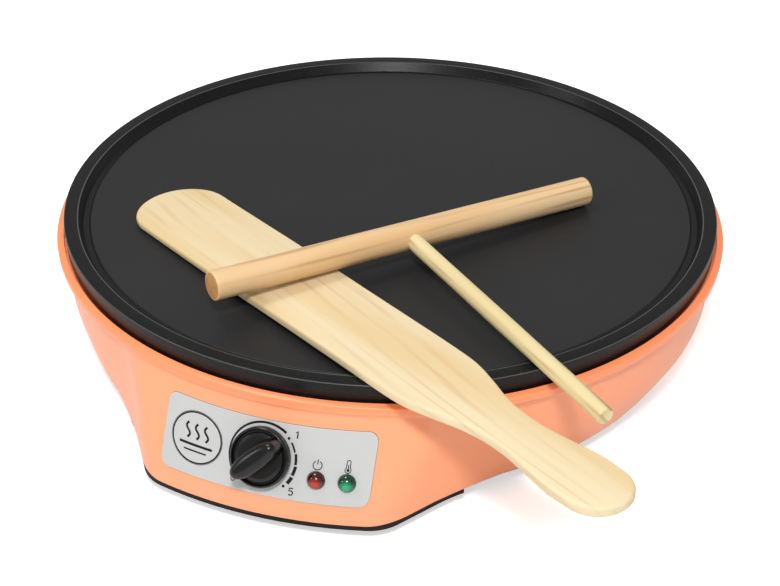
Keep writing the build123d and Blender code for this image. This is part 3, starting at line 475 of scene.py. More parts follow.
def make_plate_coating():
    """Dark non-stick coating: satin with fine specks in the dish, smooth and darker on the rim, and
    with painted highlights along the rim's two edges."""
    material, tree, skin = new_material("nonstick_coating")
    set_inputs(skin, Specular_IOR_Level=0.2)
    place = own_place(tree)
    drift = noise(tree, place, scale=9.0, detail=3.0)
    specks = ranged(tree, noise(tree, place, scale=1900.0, detail=1.0), (0.66, 0.78), (0.0, 0.6))
    distance = axis_distance(tree)
    on_rim = ranged(tree, distance, metres(SATIN_RADIUS, SMOOTH_RADIUS))

    # painted highlight: light lines along the rim's inner edge and just short of its sharp outer edge
    inner_highlight = worked_out(tree, "COMPARE", distance, *metres(RIM_INNER + INNER_EDGE_HIGHLIGHT, INNER_EDGE_HIGHLIGHT))
    out_and_up = worked_out(tree, "ADD", distance, own_height(tree))
    corner = PLATE_RADIUS + RIM_HEIGHT
    outer_highlight = ranged(tree, out_and_up, metres(corner - OUTER_HIGHLIGHT_START, corner - OUTER_HIGHLIGHT_FULL))
    edge_highlight = worked_out(tree, "MULTIPLY", worked_out(tree, "MAXIMUM", inner_highlight, outer_highlight), 0.5)

    satin = mixed(tree, ranged(tree, drift, NOISE_SPAN), linear(36, 36, 37), linear(41, 41, 42))
    smooth = mixed(tree, on_rim, satin, linear(18, 18, 18))
    with_edge_highlight = mixed(tree, edge_highlight, smooth, linear(110, 110, 108))
    satin_roughness = ranged(tree, drift, NOISE_SPAN, (0.36, 0.42))
    connect(
        tree,
        (mixed(tree, specks, with_edge_highlight, linear(76, 78, 80)), skin.inputs["Base Color"]),
        (worked_out(tree, "MULTIPLY_ADD", on_rim, -0.1, satin_roughness), skin.inputs["Roughness"]),
    )
    add_relief(tree, skin, noise(tree, place, scale=700.0), bump=0.35, reach=0.06)
    return material


SHELL_PLASTIC = make_shell_plastic()
PLATE_COATING = make_plate_coating()
LABEL_FOIL = moulded("silver_foil", (188, 189, 188), 0.42, drift=0.012, bump=0.05)
LABEL_EDGE = moulded("foil_edge", (120, 112, 108), 0.5)
PRINT_INK = moulded("print_ink", (22, 22, 23), 0.5, bump=0.03, Specular_IOR_Level=0.2)
KNOB_PLASTIC = moulded("glossy_black", (8, 8, 8), 0.28, drift=0.02, bump=0.04, Specular_IOR_Level=0.45)
BASE_PLASTIC = moulded("matt_black", (26, 24, 24), 0.6, bump=0.4, Specular_IOR_Level=0.2)
GLAND_PLASTIC = moulded("gland_black", (36, 36, 37), 0.5, bump=0.3)
RUBBER = moulded("foot_rubber", (52, 52, 53), 0.75, drift=0.1, bump=0.5)
CERAMIC = moulded("heatproof_white", (228, 225, 215), 0.5, drift=0.03, bump=0.25)
GLASS = moulded("neon_glass", (232, 226, 214), 0.08, drift=0.01, bump=0.02, Transmission_Weight=0.8)
LEAD_BROWN = moulded("brown_sleeve", (112, 70, 40), 0.5, bump=0.3)
LEAD_BLUE = moulded("blue_sleeve", (52, 92, 168), 0.5, bump=0.3)
LEAD_GREEN = moulded("green_sleeve", (128, 176, 62), 0.5, bump=0.3)
STEEL = metal("bright_steel", (205, 205, 205), (140, 138, 134), 0.32)
SHIELD_SHEET = metal("shield_sheet", (222, 222, 222), (170, 168, 165), 0.4)
BRASS = metal("plain_brass", (226, 196, 120), (150, 118, 66), 0.3)
COPPER = metal("plain_copper", (214, 150, 118), (128, 78, 58), 0.3)
# each lens: its tint darkened as painted shade at the rim, then lightened as painted light in the heart
LENS_RED = lens("lens_ruby", (52, 4, 2), (170, 46, 22))
LENS_GREEN = lens("lens_emerald", (0, 46, 30), (12, 162, 106))
SPATULA_WOOD = wood("spatula_wood", (227, 209, 172), (221, 195, 147), (194, 152, 104), 0.3, SPATULA_HEADING)
CROSSBAR_WOOD = wood("crossbar_wood", (228, 196, 152), (216, 176, 126), (170, 120, 72), 0.6, BAR_HEADING)
STICK_WOOD = wood("stick_wood", (231, 219, 174), (213, 191, 139), (146, 100, 58), 0.8, BAR_HEADING - 90)
# end grain: its own darker colour, deepened further as painted shade; it caps only one end of each dowel
END_GRAIN_AND_SHADE = wood("end_grain_and_shade", (214, 160, 102), (184, 130, 78), (112, 68, 38), 0.7, BAR_HEADING)

SLOT_FINISH = {
    "base": BASE_PLASTIC,
    "steel": STEEL,
    "shield": SHIELD_SHEET,
    "brass": BRASS,
    "copper": COPPER,
    "glass": GLASS,
    "ceramic": CERAMIC,
    "gland": GLAND_PLASTIC,
    "lead_brown": LEAD_BROWN,
    "lead_blue": LEAD_BLUE,
    "lead_green": LEAD_GREEN,
    "rubber": RUBBER,
    "shell": SHELL_PLASTIC,
    "plate": PLATE_COATING,
    "label": LABEL_FOIL,
    "knob": KNOB_PLASTIC,
    "lens_red": LENS_RED,
    "lens_green": LENS_GREEN,
    "wood": SPATULA_WOOD,
}

for part in frame["record"]["subparts"]:
    node = frame["nodes"][part["node"]]
    node.data.materials.clear()
    node.data.materials.append(SLOT_FINISH[part["material_slot"]])


# ---- meshes ------------------------------------------------------------------------------------
def make_piece(name, points, faces, material, body, slot, replaces=(), place=None, sharp=None):
    """A smooth-shaded piece from points in millimetres, set in place and riding on its body."""
    mesh = bpy.data.meshes.new(name)
    mesh.from_pydata([tuple(MM * value for value in point) for point in points], [], faces)
    mesh.polygons.foreach_set("use_smooth", [True] * len(mesh.polygons))
    mesh.materials.append(material)
    if sharp:
        mesh.set_sharp_from_angle(angle=radians(sharp))
    piece = bpy.data.objects.new(name, mesh)
    bpy.context.scene.collection.objects.link(piece)
    if place:
        piece.matrix_world = place
    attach(piece, body)
    if replaces:
        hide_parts(*replaces)
    return piece


def placed(origin, x_way, z_way):
    """Matrix of a piece whose own X and Z axes point along x_way and z_way."""
    x_axis = Vector(x_way).normalized()
    z_axis = Vector(z_way).normalized()
    turn = Matrix((x_axis, z_axis.cross(x_axis), z_axis)).transposed().to_4x4()
    return Matrix.Translation(Vector(origin) * MM) @ turn


def grid_faces(rows, columns):
    """Quads between rows of points that each run all the way round."""
    faces = []
    for row in range(rows - 1):
        for column in range(columns):
            here = row * columns + column
            ahead = row * columns + (column + 1) % columns
            faces.append((here, ahead, ahead + columns, here + columns))
    return faces


def eased(corners, steps=5):
    """A line through (across, along, radius) corners with each corner rounded to its radius."""
    line = []
    for index, (across, along, radius) in enumerate(corners):
        here = np.array((across, along), float)
        if radius == 0:
            line.append(here)
            continue
        before = np.array(corners[index - 1][:2], float) - here
        after = np.array(corners[(index + 1) % len(corners)][:2], float) - here
        before /= np.linalg.norm(before)
        after /= np.linalg.norm(after)
        half = acos(np.clip(before @ after, -1, 1)) / 2
        middle = (before + after) / np.linalg.norm(before + after)
        centre = here + middle * radius / sin(half)
        start = here + before * radius / tan(half) - centre
        end = here + after * radius / tan(half) - centre
        sweep = pi - 2 * half
        for step in range(steps + 1):
            share = step / steps
            spoke = start * sin((1 - share) * sweep) + end * sin(share * sweep)
            line.append(centre + spoke / sin(sweep))
    return line


def turned(profile, turns):
    """Points and faces of a profile of (radius, height) turned about the Z axis."""
    angles = np.linspace(0, 2 * pi, turns, endpoint=False)
    points = []
    for radius, height in profile:
        points += [(radius * cos(angle), radius * sin(angle), height) for angle in angles]
    faces = [tuple(reversed(face)) for face in grid_faces(len(profile), turns)]
    if profile[0][0] < 1e-3:
        faces = faces[turns:]
        points[:turns] = [(0, 0, profile[0][1])] * turns
        faces = [(0, turns + (step + 1) % turns, turns + step) for step in range(turns)] + faces
    if profile[-1][0] < 1e-3:
        last = (len(profile) - 1) * turns
        faces = faces[:-turns]
        faces += [(last, last - turns + step, last - turns + (step + 1) % turns) for step in range(turns)]
    return points, faces


# ---- shell -------------------------------------------------------------------------------------
def soft_max(first, second, reach):
    """The larger of two, with the step between them rounded over a reach."""
    near = np.clip(reach - np.abs(first - second), 0, None) / reach
    return np.maximum(first, second) + near * near * reach / 4


def soft_min(first, second, reach):
    return -soft_max(-first, -second, reach)


def smooth_step(value, low, high):
    share = np.clip((value - low) / (high - low), 0, 1)
    return share * share * (3 - 2 * share)


def bowl_wall(height, inset):
    """The bowl's leaning wall, which rounds in towards the bottom."""
    radius = BOWL_CORNER_RADIUS - inset
    drop = np.clip(BOWL_CORNER_HEIGHT - height, -radius, radius)
    corner = BOWL_CORNER_CENTRE + np.sqrt(radius**2 - drop**2)
    wall = BOWL_RADIUS - inset / cos(BOWL_LEAN) - (LIP_BOTTOM - height) * tan(BOWL_LEAN)
    return np.where(height > BOWL_TANGENT_HEIGHT, wall, corner)


def nose_front(height, inset):
    """The kick at the foot and the leaning panel above it."""
    kick = KICK_RADIUS + (KICK_TOP - height) * tan(KICK_LEAN) - inset / cos(KICK_LEAN)
    panel = KICK_RADIUS + (KICK_TOP - height) * tan(PANEL_LEAN) - inset / cos(PANEL_LEAN)
    return soft_min(kick, panel, KICK_BLEND)


def nose_side(azimuth, inset):
    """The flank, which sweeps back into the bowl's foot."""
    turn = np.abs(azimuth)
    flank = (FLANK_DISTANCE - inset) / np.cos(np.radians(NOSE_FLARE - np.minimum(turn, FLANK_END)))
    return flank - FLANK_FADE * np.clip(turn - FLANK_END, 0, FLANK_FADE_TURN)


def shell_radius(azimuth, height, inset=0.0):
    """Distance of the shell's surface from the plate's axis, on the outside or inset from it."""
    rise = np.clip((height - SHELL_BOTTOM) / (LIP_BOTTOM - SHELL_BOTTOM), 0, 1)
    corner = NOSE_CORNER_FOOT + (NOSE_CORNER_TOP - NOSE_CORNER_FOOT) * rise
    nose = soft_min(nose_front(height, inset), nose_side(azimuth, inset), corner)
    beside = smooth_step(np.abs(azimuth), PANEL_BLEND_END, FLANK_BLEND_START)
    blend = PANEL_BLEND + beside * (FLANK_BLEND + FOOT_BLEND * (1 - rise) ** 2)
    body = soft_max(bowl_wall(height, inset), nose, blend)
    if inset:
        return body
    below_lip = np.clip(LIP_BOTTOM + 0.4 - height, 0, None)
    return soft_max(body, LIP_RADIUS - LIP_INSET - LIP_UNDERCUT * below_lip, LIP_BLEND)


# azimuths of the shell's points, closer together round the nose than round the bowl
azimuths = np.concatenate([np.arange(-60.0, 60.01, 0.4), np.arange(61.0, 299.5, 1.0)])
azimuths = np.where(azimuths > 180, azimuths - 360, azimuths)
turns_x = np.sin(np.radians(azimuths))
turns_y = -np.cos(np.radians(azimuths))


def shell_ring(height, inset=0.0):
    return shell_radius(azimuths, np.full_like(azimuths, height), inset)


# rings from the rounded bottom edge up the outside, over the lip and down the inside
shell_rings = []
for trim, rise in ((0.6, 0.0), (0.3, 0.08), (0.08, 0.3), (0.0, 0.6)):
    shell_rings.append((shell_ring(SHELL_BOTTOM) - trim, SHELL_BOTTOM + rise))
for height in np.concatenate([np.linspace(9.4, 48.0, 44), np.linspace(48.6, 54.0, 14)]):
    shell_rings.append((shell_ring(height), height))
lip_line = eased(
    [
        (LIP_RADIUS, LIP_TOP - 2.9, 0),
        (LIP_RADIUS, LIP_TOP - 0.9, 0.7),
        (OPENING_RADIUS, LIP_TOP, 0.35),
        (OPENING_RADIUS, LEDGE, 0.2),
        (OPENING_RADIUS - 2.4, LEDGE, 0.4),
        (OPENING_RADIUS - 2.6, LEDGE - 3, 0),
    ]
)
for radius, height in lip_line[1:]:
    shell_rings.append((np.full_like(azimuths, radius), height))
for height in np.linspace(LEDGE - 5, SHELL_BOTTOM, 16):
    shell_rings.append((shell_ring(height, SHELL_WALL), height))
shell_rings.append(shell_rings[0])

shell_points = []
for radii, height in shell_rings:
    shell_points += [(radius * x, radius * y, height) for radius, x, y in zip(radii, turns_x, turns_y)]
make_piece(
    "shell_moulding",
    shell_points,
    grid_faces(len(shell_rings), len(azimuths)),
    SHELL_PLASTIC,
    "root",
    "shell",
    ["housing"],
    sharp=50,
)

# flat round seat that stands out of the bowl at the back for the cord inlet
seat_line = eased([(SEAT_BORE, 0, 0), (SEAT_RADIUS, 0, 0.5), (SEAT_RADIUS, -SEAT_DEPTH, 0)])
make_piece(
    "cord_seat",
    *turned(seat_line, 64),
    SHELL_PLASTIC,
    "root",
    "shell",
    place=placed((0, GLAND_FACE, GLAND_HEIGHT), (-1, 0, 0), (0, 1, 0)),
)

# ---- cooking plate -----------------------------------------------------------------------------
wall_foot = RIM_INNER - DISH_WALL_RUN
groove_inner = wall_foot - GROOVE_WIDTH
skirt_bottom = RIM_HEIGHT - SKIRT_HEIGHT
plate_line = [(0, DISH_FLOOR)] + [(radius, DISH_FLOOR) for radius in np.linspace(20, 132, 8)]
plate_line += eased(
    [
        (135, DISH_FLOOR, 0),
        (groove_inner - GROOVE_DEPTH, DISH_FLOOR, 0.8),
        (groove_inner, DISH_FLOOR - GROOVE_DEPTH, 0.5),
        (wall_foot, DISH_FLOOR - GROOVE_DEPTH, 0.6),
        (RIM_INNER, RIM_HEIGHT, 0.55),
        (PLATE_RADIUS, RIM_HEIGHT, 0.6),
        (PLATE_RADIUS - SKIRT_DRAFT, skirt_bottom, 0.5),
        (PLATE_RADIUS - SKIRT_DRAFT - SKIRT_WALL, skirt_bottom, 0.5),
        (PLATE_RADIUS - SKIRT_WALL, RIM_HEIGHT - SKIRT_WALL, 0.5),
        (RIM_INNER + SKIRT_DRAFT, RIM_HEIGHT - SKIRT_WALL, 0.5),
        (wall_foot, DISH_FLOOR - PLATE_THICKNESS, 0),
        (0, DISH_FLOOR - PLATE_THICKNESS, 0),
    ],
    steps=6,
)
make_piece(
    "coated_plate",
    *turned(plate_line, 360),
    PLATE_COATING,
    "root",
    "plate",
    ["cooking_plate"],
    sharp=60,
)


# ---- control panel -----------------------------------------------------------------------------
def panel_point(across, up, lift):
    """A point on the sloping panel: across to the right, up the slope and lifted straight out."""
    radius = KICK_RADIUS - up * sin(PANEL_LEAN)
    turn = across / radius
    radius += lift * cos(PANEL_LEAN)
    height = KICK_TOP + up * cos(PANEL_LEAN) + lift * sin(PANEL_LEAN)
    return radius * sin(turn), -radius * cos(turn), height


def panel_place(across, up, lift):
    """Matrix of a piece that stands on the panel, with its own Z axis straight out."""
    turn = across / (KICK_RADIUS - up * sin(PANEL_LEAN))
    out = (sin(turn) * cos(PANEL_LEAN), -cos(turn) * cos(PANEL_LEAN), sin(PANEL_LEAN))
    return placed(panel_point(across, up, lift), (cos(turn), sin(turn), 0), out)


def foil_point(across, rise, lift):
    """A point on the foil, across and upright as it is cut, lifted off the panel."""
    radius = KICK_RADIUS - rise * tan(PANEL_LEAN) + lift / cos(PANEL_LEAN)
    return across, -sqrt(radius**2 - across**2), KICK_TOP + rise


half_rise = LABEL_RISE / 2
outline = []
for corner_x, corner_z, start in ((1, 1, 0), (-1, 1, 90), (-1, -1, 180), (1, -1, 270)):
    for step in range(11):
        angle = radians(start + 9 * step)
        x = corner_x * (LABEL_HALF_WIDTH - LABEL_CORNER) + LABEL_CORNER * cos(angle)
        z = corner_z * (half_rise - LABEL_CORNER) + LABEL_CORNER * sin(angle)
        outline.append((x, z))
# extra points along the long straight edges, so that the foil follows the curved panel
foil_edge = []
for index, (x, z) in enumerate(outline):
    next_x, next_z = outline[(index + 1) % len(outline)]
    spans = max(1, int(hypot(next_x - x, next_z - z) / FOIL_SPAN))
    for step in range(spans):
        foil_edge.append((x + (next_x - x) * step / spans, z + (next_z - z) * step / spans))
# rings from the middle outwards: share of the outline, trim in from it and lift off the panel
foil_rings = [(share, 0, LABEL_THICKNESS) for share in (0.001, 0.15, 0.3, 0.45, 0.6, 0.75, 0.88)]
foil_rings += [(1, 0.5, LABEL_THICKNESS), (1, 0.2, LABEL_THICKNESS)]
foil_rings += [(1, 0.06, 0.34), (1, 0, 0.25), (1, 0, 0.02)]
foil_points = []
for share, trim, lift in foil_rings:
    for x, z in foil_edge:
        keep = share * (1 - trim / hypot(x, z))
        foil_points.append(foil_point(x * keep, half_rise + z * keep, lift))
foil = make_piece(
    "foil_label",
    foil_points,
    [tuple(reversed(face)) for face in grid_faces(len(foil_rings), len(foil_edge))],
    LABEL_FOIL,
    "root",
    "label",
    ["control_label"],
)
# the outermost two rows of faces are the foil's cut edge
foil.data.materials.append(LABEL_EDGE)
for face in foil.data.polygons[(len(foil_rings) - 3) * len(foil_edge):]:
    face.material_index = 1

print_points = []
print_faces = []


def print_stroke(line, width, closed=False, end_width=None):
    """A printed line through points on the panel, of one width or widening to its end."""
    fine = []
    for index in range(len(line) if closed else len(line) - 1):
        start = np.array(line[index], float)
        end = np.array(line[(index + 1) % len(line)], float)
        count = max(1, int(np.linalg.norm(end - start) / PRINT_SPAN))
        fine += [start + (end - start) * step / count for step in range(count)]
    if not closed:
        fine.append(np.array(line[-1], float))
    count = len(fine)
    first = len(print_points)
    for index, here in enumerate(fine):
        before = fine[index - 1] if index or closed else here
        after = fine[(index + 1) % count] if index < count - 1 or closed else here
        way = after - before
        way /= np.linalg.norm(way)
        across = width + ((end_width or width) - width) * index / count
        side = np.array((-way[1], way[0])) * across / 2
        print_points.append(panel_point(*(here + side), PRINT_LIFT))
        print_points.append(panel_point(*(here - side), PRINT_LIFT))
    for index in range(count if closed else count - 1):
        here = first + 2 * index
        ahead = first + 2 * ((index + 1) % count)
        print_faces.append((here, here + 1, ahead + 1, ahead))


def arc(centre, radius, start, end, step=3.0):
    """Points of an arc, in degrees anticlockwise from the panel's x."""
    count = max(2, int(abs(end - start) / step))
    angles = [radians(start + (end - start) * index / count) for index in range(count + 1)]
    return [(centre[0] + radius * cos(angle), centre[1] + radius * sin(angle)) for angle in angles]


def print_dot(centre, radius):
    first = len(print_points)
    for across, up in arc(centre, radius, 0, 345, 15):
        print_points.append(panel_point(across, up, PRINT_LIFT))
    print_faces.append(tuple(range(first, len(print_points))))


def about(centre, line):
    """A line drawn about a centre on the panel."""
    return [(centre[0] + x, centre[1] + y) for x, y in line]


# the dial's scale: a swelling arc from the off mark, four bars that grow with the heat and two dots
dial = (0.0, 16.0)
off_mark = (-11.9, 4.1)
print_stroke(arc(dial, 15.05, 213, 53.5), 0.7, end_width=1.15)
print_stroke(arc(off_mark, 0.9, 0, 350, 20), 0.36, closed=True)
for start, end, radius, width in (
    (35.6, 17.8, 14.5, 0.8),
    (15.5, -3.1, 14.75, 1.15),
    (-5.4, -21.2, 14.95, 1.4),
    (-24.1, -36.8, 15.25, 1.6),
):
    print_stroke(arc(dial, radius, start, end), width)
for dot in ((10.4, 26.1), (10.8, 5.5)):
    print_dot(dot, 0.62)

digit_width = 0.6
one = [(-0.7, 0.9), (0.15, 1.5), (0.15, -1.5)]
five = [(0.85, 1.5), (-0.65, 1.5), (-0.8, 0.15), (-0.1, 0.45), (0.7, 0.15), (0.9, -0.55)]
five += [(0.55, -1.3), (-0.2, -1.5), (-0.9, -1.15)]
print_stroke(about((13.8, 28.0), one), digit_width)
print_stroke(about((14.3, 3.6), five), digit_width)

# power sign over the red lamp: a broken ring and an upright bar
power = (24.1, 16.4)
power_width = 0.42
print_stroke(arc(power, 1.9, 118, 422), power_width)
print_stroke(about(power, [(0, 0.4), (0, 2.6)]), power_width)

# thermometer over the green lamp: a bulb and a stem in one outline, filled up to a level
thermometer = (37.1, 17.0)
bulb = (0, -1.5)
glass_line = arc(bulb, 1.25, 130, 410) + arc((0, 2.0), 0.78, 0, 180, 20)
print_stroke(about(thermometer, glass_line), 0.38, closed=True)
print_dot(about(thermometer, [bulb])[0], 0.65)
print_stroke(about(thermometer, [(0, -1.2), (0, 0.9)]), 0.4)

# plain round badge: two rings round a hot plate with three wisps of heat
badge = (-31.4, 16.3)
for ring_across, ring_up, width in ((12.1, 10.75, 0.66), (12.65, 11.3, 0.22)):
    ring = [(ring_across * cos(angle), ring_up * sin(angle)) for angle in np.radians(range(0, 360, 3))]
    print_stroke(about(badge, ring), width, closed=True)
wisp_height = 6.6
wisp_swing = 1.05
for offset in (-4.6, 0.0, 4.6):
    rises = np.linspace(0, wisp_height, 17)
    wisp = [(offset + wisp_swing * sin(rise / wisp_height * 2 * pi), rise - 0.8) for rise in rises]
    print_stroke(about(badge, wisp), 1.0)
for half_length, up, width in ((8.2, -3.3, 1.1), (5.6, -5.9, 0.7)):
    print_stroke(about(badge, [(-half_length, up), (half_length, up)]), width)
make_piece("panel_print", print_points, print_faces, PRINT_INK, "root", "label")

# ---- knob --------------------------------------------------------------------------------------
dial_line = [(9.0, 0.6)] + eased(
    [
        (12.3, 0.0, 0.3),
        (KNOB_RADIUS, 0.5, 0.5),
        (KNOB_RADIUS, 3.9, 0.9),
        (12.1, 4.9, 0.4),
        (11.5, 3.3, 0.25),
        (10.9, 3.2, 0.2),
        (10.5, 4.2, 0.4),
        (9.0, 4.6, 0),
        (0, 4.9, 0),
    ]
)
knob_place = panel_place(0, KNOB_UP, KNOB_BASE) @ Matrix.Rotation(OFF_ANGLE, 4, "Z")
make_piece(
    "dial_skirt",
    *turned(dial_line, 96),
    KNOB_PLASTIC,
    "knob",
    "knob",
    ["knob"],
    knob_place,
    sharp=50,
)

# grip bar that narrows upwards, crowned at its top and pinched a little towards its ends
grip_height = GRIP_TOP - KNOB_BASE - GRIP_FOOT
grip_sides = 72
levels = [(share, 0) for share in np.linspace(0, GRIP_SHOULDER, 12)]
for angle in np.radians(np.linspace(9, 90, 12)):
    levels.append((GRIP_SHOULDER + (1 - GRIP_SHOULDER) * sin(angle), 1 - cos(angle)))
grip_points = []
for share, crown in levels:
    half_length = GRIP_HALF_LENGTH - GRIP_TAPER * share - GRIP_CROWN_LENGTH * crown
    half_width = GRIP_HALF_WIDTH + GRIP_FLARE * (1 - share) ** 1.5 - GRIP_CROWN_WIDTH * crown
    for side in range(grip_sides):
        angle = 2 * pi * side / grip_sides
        x = half_length * np.sign(cos(angle)) * abs(cos(angle)) ** 0.7
        pinch = 1 - GRIP_PINCH * (x / GRIP_HALF_LENGTH) ** 2
        y = half_width * np.sign(sin(angle)) * abs(sin(angle)) ** 0.85 * pinch
        sag = GRIP_SAG * (x / GRIP_SAG_REACH) ** 2
        grip_points.append((x, y, GRIP_FOOT + (grip_height - sag) * share))
grip_faces = grid_faces(len(levels), grip_sides)
grip_faces.append(tuple(range((len(levels) - 1) * grip_sides, len(levels) * grip_sides)))
make_piece(
    "dial_grip",
    grip_points,
    grip_faces,
    KNOB_PLASTIC,
    "knob",
    "knob",
    place=knob_place,
    sharp=70,
)

# ---- lamps -------------------------------------------------------------------------------------
bulge = (LENS_RADIUS**2 + LENS_DOME**2) / (2 * LENS_DOME)
dome_sweep = atan2(LENS_RADIUS, bulge - LENS_DOME)
lens_line = []
for angle in np.linspace(0, dome_sweep, 16):
    lens_line.append((bulge * sin(angle), LENS_DOME - bulge + bulge * cos(angle)))
lens_line += [(LENS_RADIUS, -LENS_SINK), (LENS_BARREL, -LENS_SINK)]
lens_line += [(LENS_BARREL, -LENS_DEPTH), (0, -LENS_DEPTH)]
for colour, finish in (("red", LENS_RED), ("green", LENS_GREEN)):
    make_piece(
        f"lamp_lens_{colour}",
        *turned(lens_line, 64),
        finish,
        "root",
        f"lens_{colour}",
        [f"lens_{colour}"],
        panel_place(LAMPS_ACROSS[colour], LAMP_UP, LABEL_THICKNESS),
        sharp=50,
    )


# ---- wooden tools ------------------------------------------------------------------------------
def flowing(points, per_span=6):
    """A smooth line through points."""
    knots = np.array([points[0], *points, points[-1]], float)
    knots[0] = 2 * knots[1] - knots[2]
    knots[-1] = 2 * knots[-2] - knots[-3]
    line = []
    for index in range(1, len(knots) - 2):
        before, start, end, after = knots[index - 1:index + 3]
        bend = 2 * before - 5 * start + 4 * end - after
        twist = 3 * start - before - 3 * end + after
        for step in range(per_span):
            share = step / per_span
            line.append(0.5 * (2 * start + (end - before) * share + bend * share**2 + twist * share**3))
    line.append(knots[-2])
    return line


def laid(points, place):
    """Points in millimetres moved to where a piece lies."""
    return [tuple(place @ (Vector(point) * MM) / MM) for point in points]


def way_to_circle(point, heading, radius):
    """Distance in plan from a point, along a heading, to a circle about the plate's axis."""
    along = point[0] * cos(heading) + point[1] * sin(heading)
    return -along + sqrt(along**2 - point[0] ** 2 - point[1] ** 2 + radius**2)


def pitched(heading, pitch):
    """The direction along a heading in plan, raised by a pitch."""
    return Vector((cos(heading) * cos(pitch), sin(heading) * cos(pitch), sin(pitch)))


# the spatula's tip lies on the dish and its near edge on the rim's inner edge
heading = radians(SPATULA_HEADING)
ahead = Vector((cos(heading), sin(heading)))
aside = Vector((-sin(heading), cos(heading)))
half_width = SPATULA_WIDTH / 2
near_edge = SPATULA_POINT - aside * half_width
tip_to_rim = SPATULA_POINT_TO_TIP + way_to_circle(near_edge, heading, RIM_INNER)
spatula_pitch = atan2(DISH_DEPTH, tip_to_rim)
tip = SPATULA_POINT - ahead * SPATULA_POINT_TO_TIP
spatula_place = placed(
    (tip.x, tip.y, DISH_FLOOR + LAY_GAP),
    pitched(heading, spatula_pitch),
    pitched(heading, spatula_pitch + pi / 2),
)

# half of the spatula's outline, as (from the tip, from the middle line)
tip_curve = []
for angle in np.radians(np.linspace(0, 90, 18))[:-1]:
    tip_curve.append((TIP_LENGTH * (1 - cos(angle)), half_width * sin(angle)))
side_line = flowing(
    [
        (TIP_LENGTH, half_width),
        (50, 22.8),
        (80, 22.8),
        (103, 22.4),
        (130, 21.9),
        (160, 21.6),
        (193, 21.3),
        (208, 20.4),
        (222, 17.0),
        (234, 13.4),
        (246, 11.5),
        (260, 11.4),
        (274, 13.3),
        (288, 15.2),
        (HANDLE_END_START, HANDLE_END_HALF_WIDTH),
    ]
)
end_curve = []
for angle in np.radians(np.linspace(6, 90, 15))[:-1]:
    along = HANDLE_END_START + (SPATULA_LENGTH - HANDLE_END_START) * sin(angle)
    end_curve.append((along, HANDLE_END_HALF_WIDTH * cos(angle) ** 0.95))
end_curve.append((SPATULA_LENGTH, 0.0))
spatula_line = np.array(tip_curve + [tuple(point) for point in side_line] + end_curve)
half_loop = len(spatula_line)
ways = np.gradient(spatula_line, axis=0)
ways /= np.linalg.norm(ways, axis=1)[:, None]
inward = np.stack([ways[:, 1], -ways[:, 0]], axis=1)

# the blade is planed thinner towards its tip
thickness = SPATULA_THICKNESS - BLADE_THINNING * (1 - smooth_step(spatula_line[:, 0], 0, BLADE_LENGTH))


def slab_loop(trim, heights):
    """One closed loop round the spatula, drawn in by a trim, with a height for each point of a side."""
    inner = spatula_line + inward * trim
    inner[:, 1] = np.clip(inner[:, 1], 0, None)
    right = [(x, -y, height) for (x, y), height in zip(inner, heights)]
    left = [(x, y, height) for (x, y), height in zip(inner[::-1], heights[::-1])]
    return right + left


def close_face(first, upward):
    """Quads across the spatula between the two sides of a loop."""
    faces = []
    last = first + 2 * half_loop - 1
    for step in range(half_loop - 1):
        face = (first + step, first + step + 1, last - step - 1, last - step)
        faces.append(face if upward else tuple(reversed(face)))
    return faces


edge_steps = np.radians(np.linspace(0, 90, 7))
loops = []
for angle in edge_steps:
    rise = ROUND_OVER * (1 - cos(angle))
    loops.append(slab_loop(ROUND_OVER * (1 - sin(angle)), np.full_like(thickness, rise)))
for angle in edge_steps[::-1]:
    drop = ROUND_OVER * (1 - cos(angle))
    loops.append(slab_loop(ROUND_OVER * (1 - sin(angle)), thickness - drop))
spatula_faces = grid_faces(len(loops), 2 * half_loop)
spatula_faces += close_face(0, False)
spatula_faces += close_face((len(loops) - 1) * 2 * half_loop, True)
make_piece(
    "wooden_spatula",
    laid([point for loop in loops for point in loop], spatula_place),
    spatula_faces,
    SPATULA_WOOD,
    "spatula",
    "wood",
    ["spatula"],
    sharp=80,
)

# the spreader's bar leans on the spatula's far edge and on the dish, and its stick on the rim
bar_turn = radians(BAR_HEADING)
bar_plan = Vector((cos(bar_turn), sin(bar_turn)))
far_edge = SPATULA_POINT + aside * half_width
crossing = (far_edge - BAR_LEFT).dot(aside) / bar_plan.dot(aside)
touch = BAR_LEFT + bar_plan * crossing
spatula_rise = (touch - tip).dot(ahead) * tan(spatula_pitch) + SPATULA_THICKNESS / cos(spatula_pitch)
bar_pitch = atan2(spatula_rise + LAY_GAP, BAR_LENGTH - crossing)
bar_way = pitched(bar_turn, -bar_pitch)
middle = BAR_LEFT + bar_plan * (BAR_LENGTH / 2)
middle_height = DISH_FLOOR + LAY_GAP + BAR_LENGTH / 2 * tan(bar_pitch) + BAR_RADIUS / cos(bar_pitch)
stick_turn = bar_turn - pi / 2
stick_drop = middle_height - RIM_HEIGHT - STICK_RADIUS - LAY_GAP
stick_pitch = atan2(stick_drop, way_to_circle(middle, stick_turn, PLATE_RADIUS))
stick_way = pitched(stick_turn, -stick_pitch)
bar_up = bar_way.cross(-stick_way)


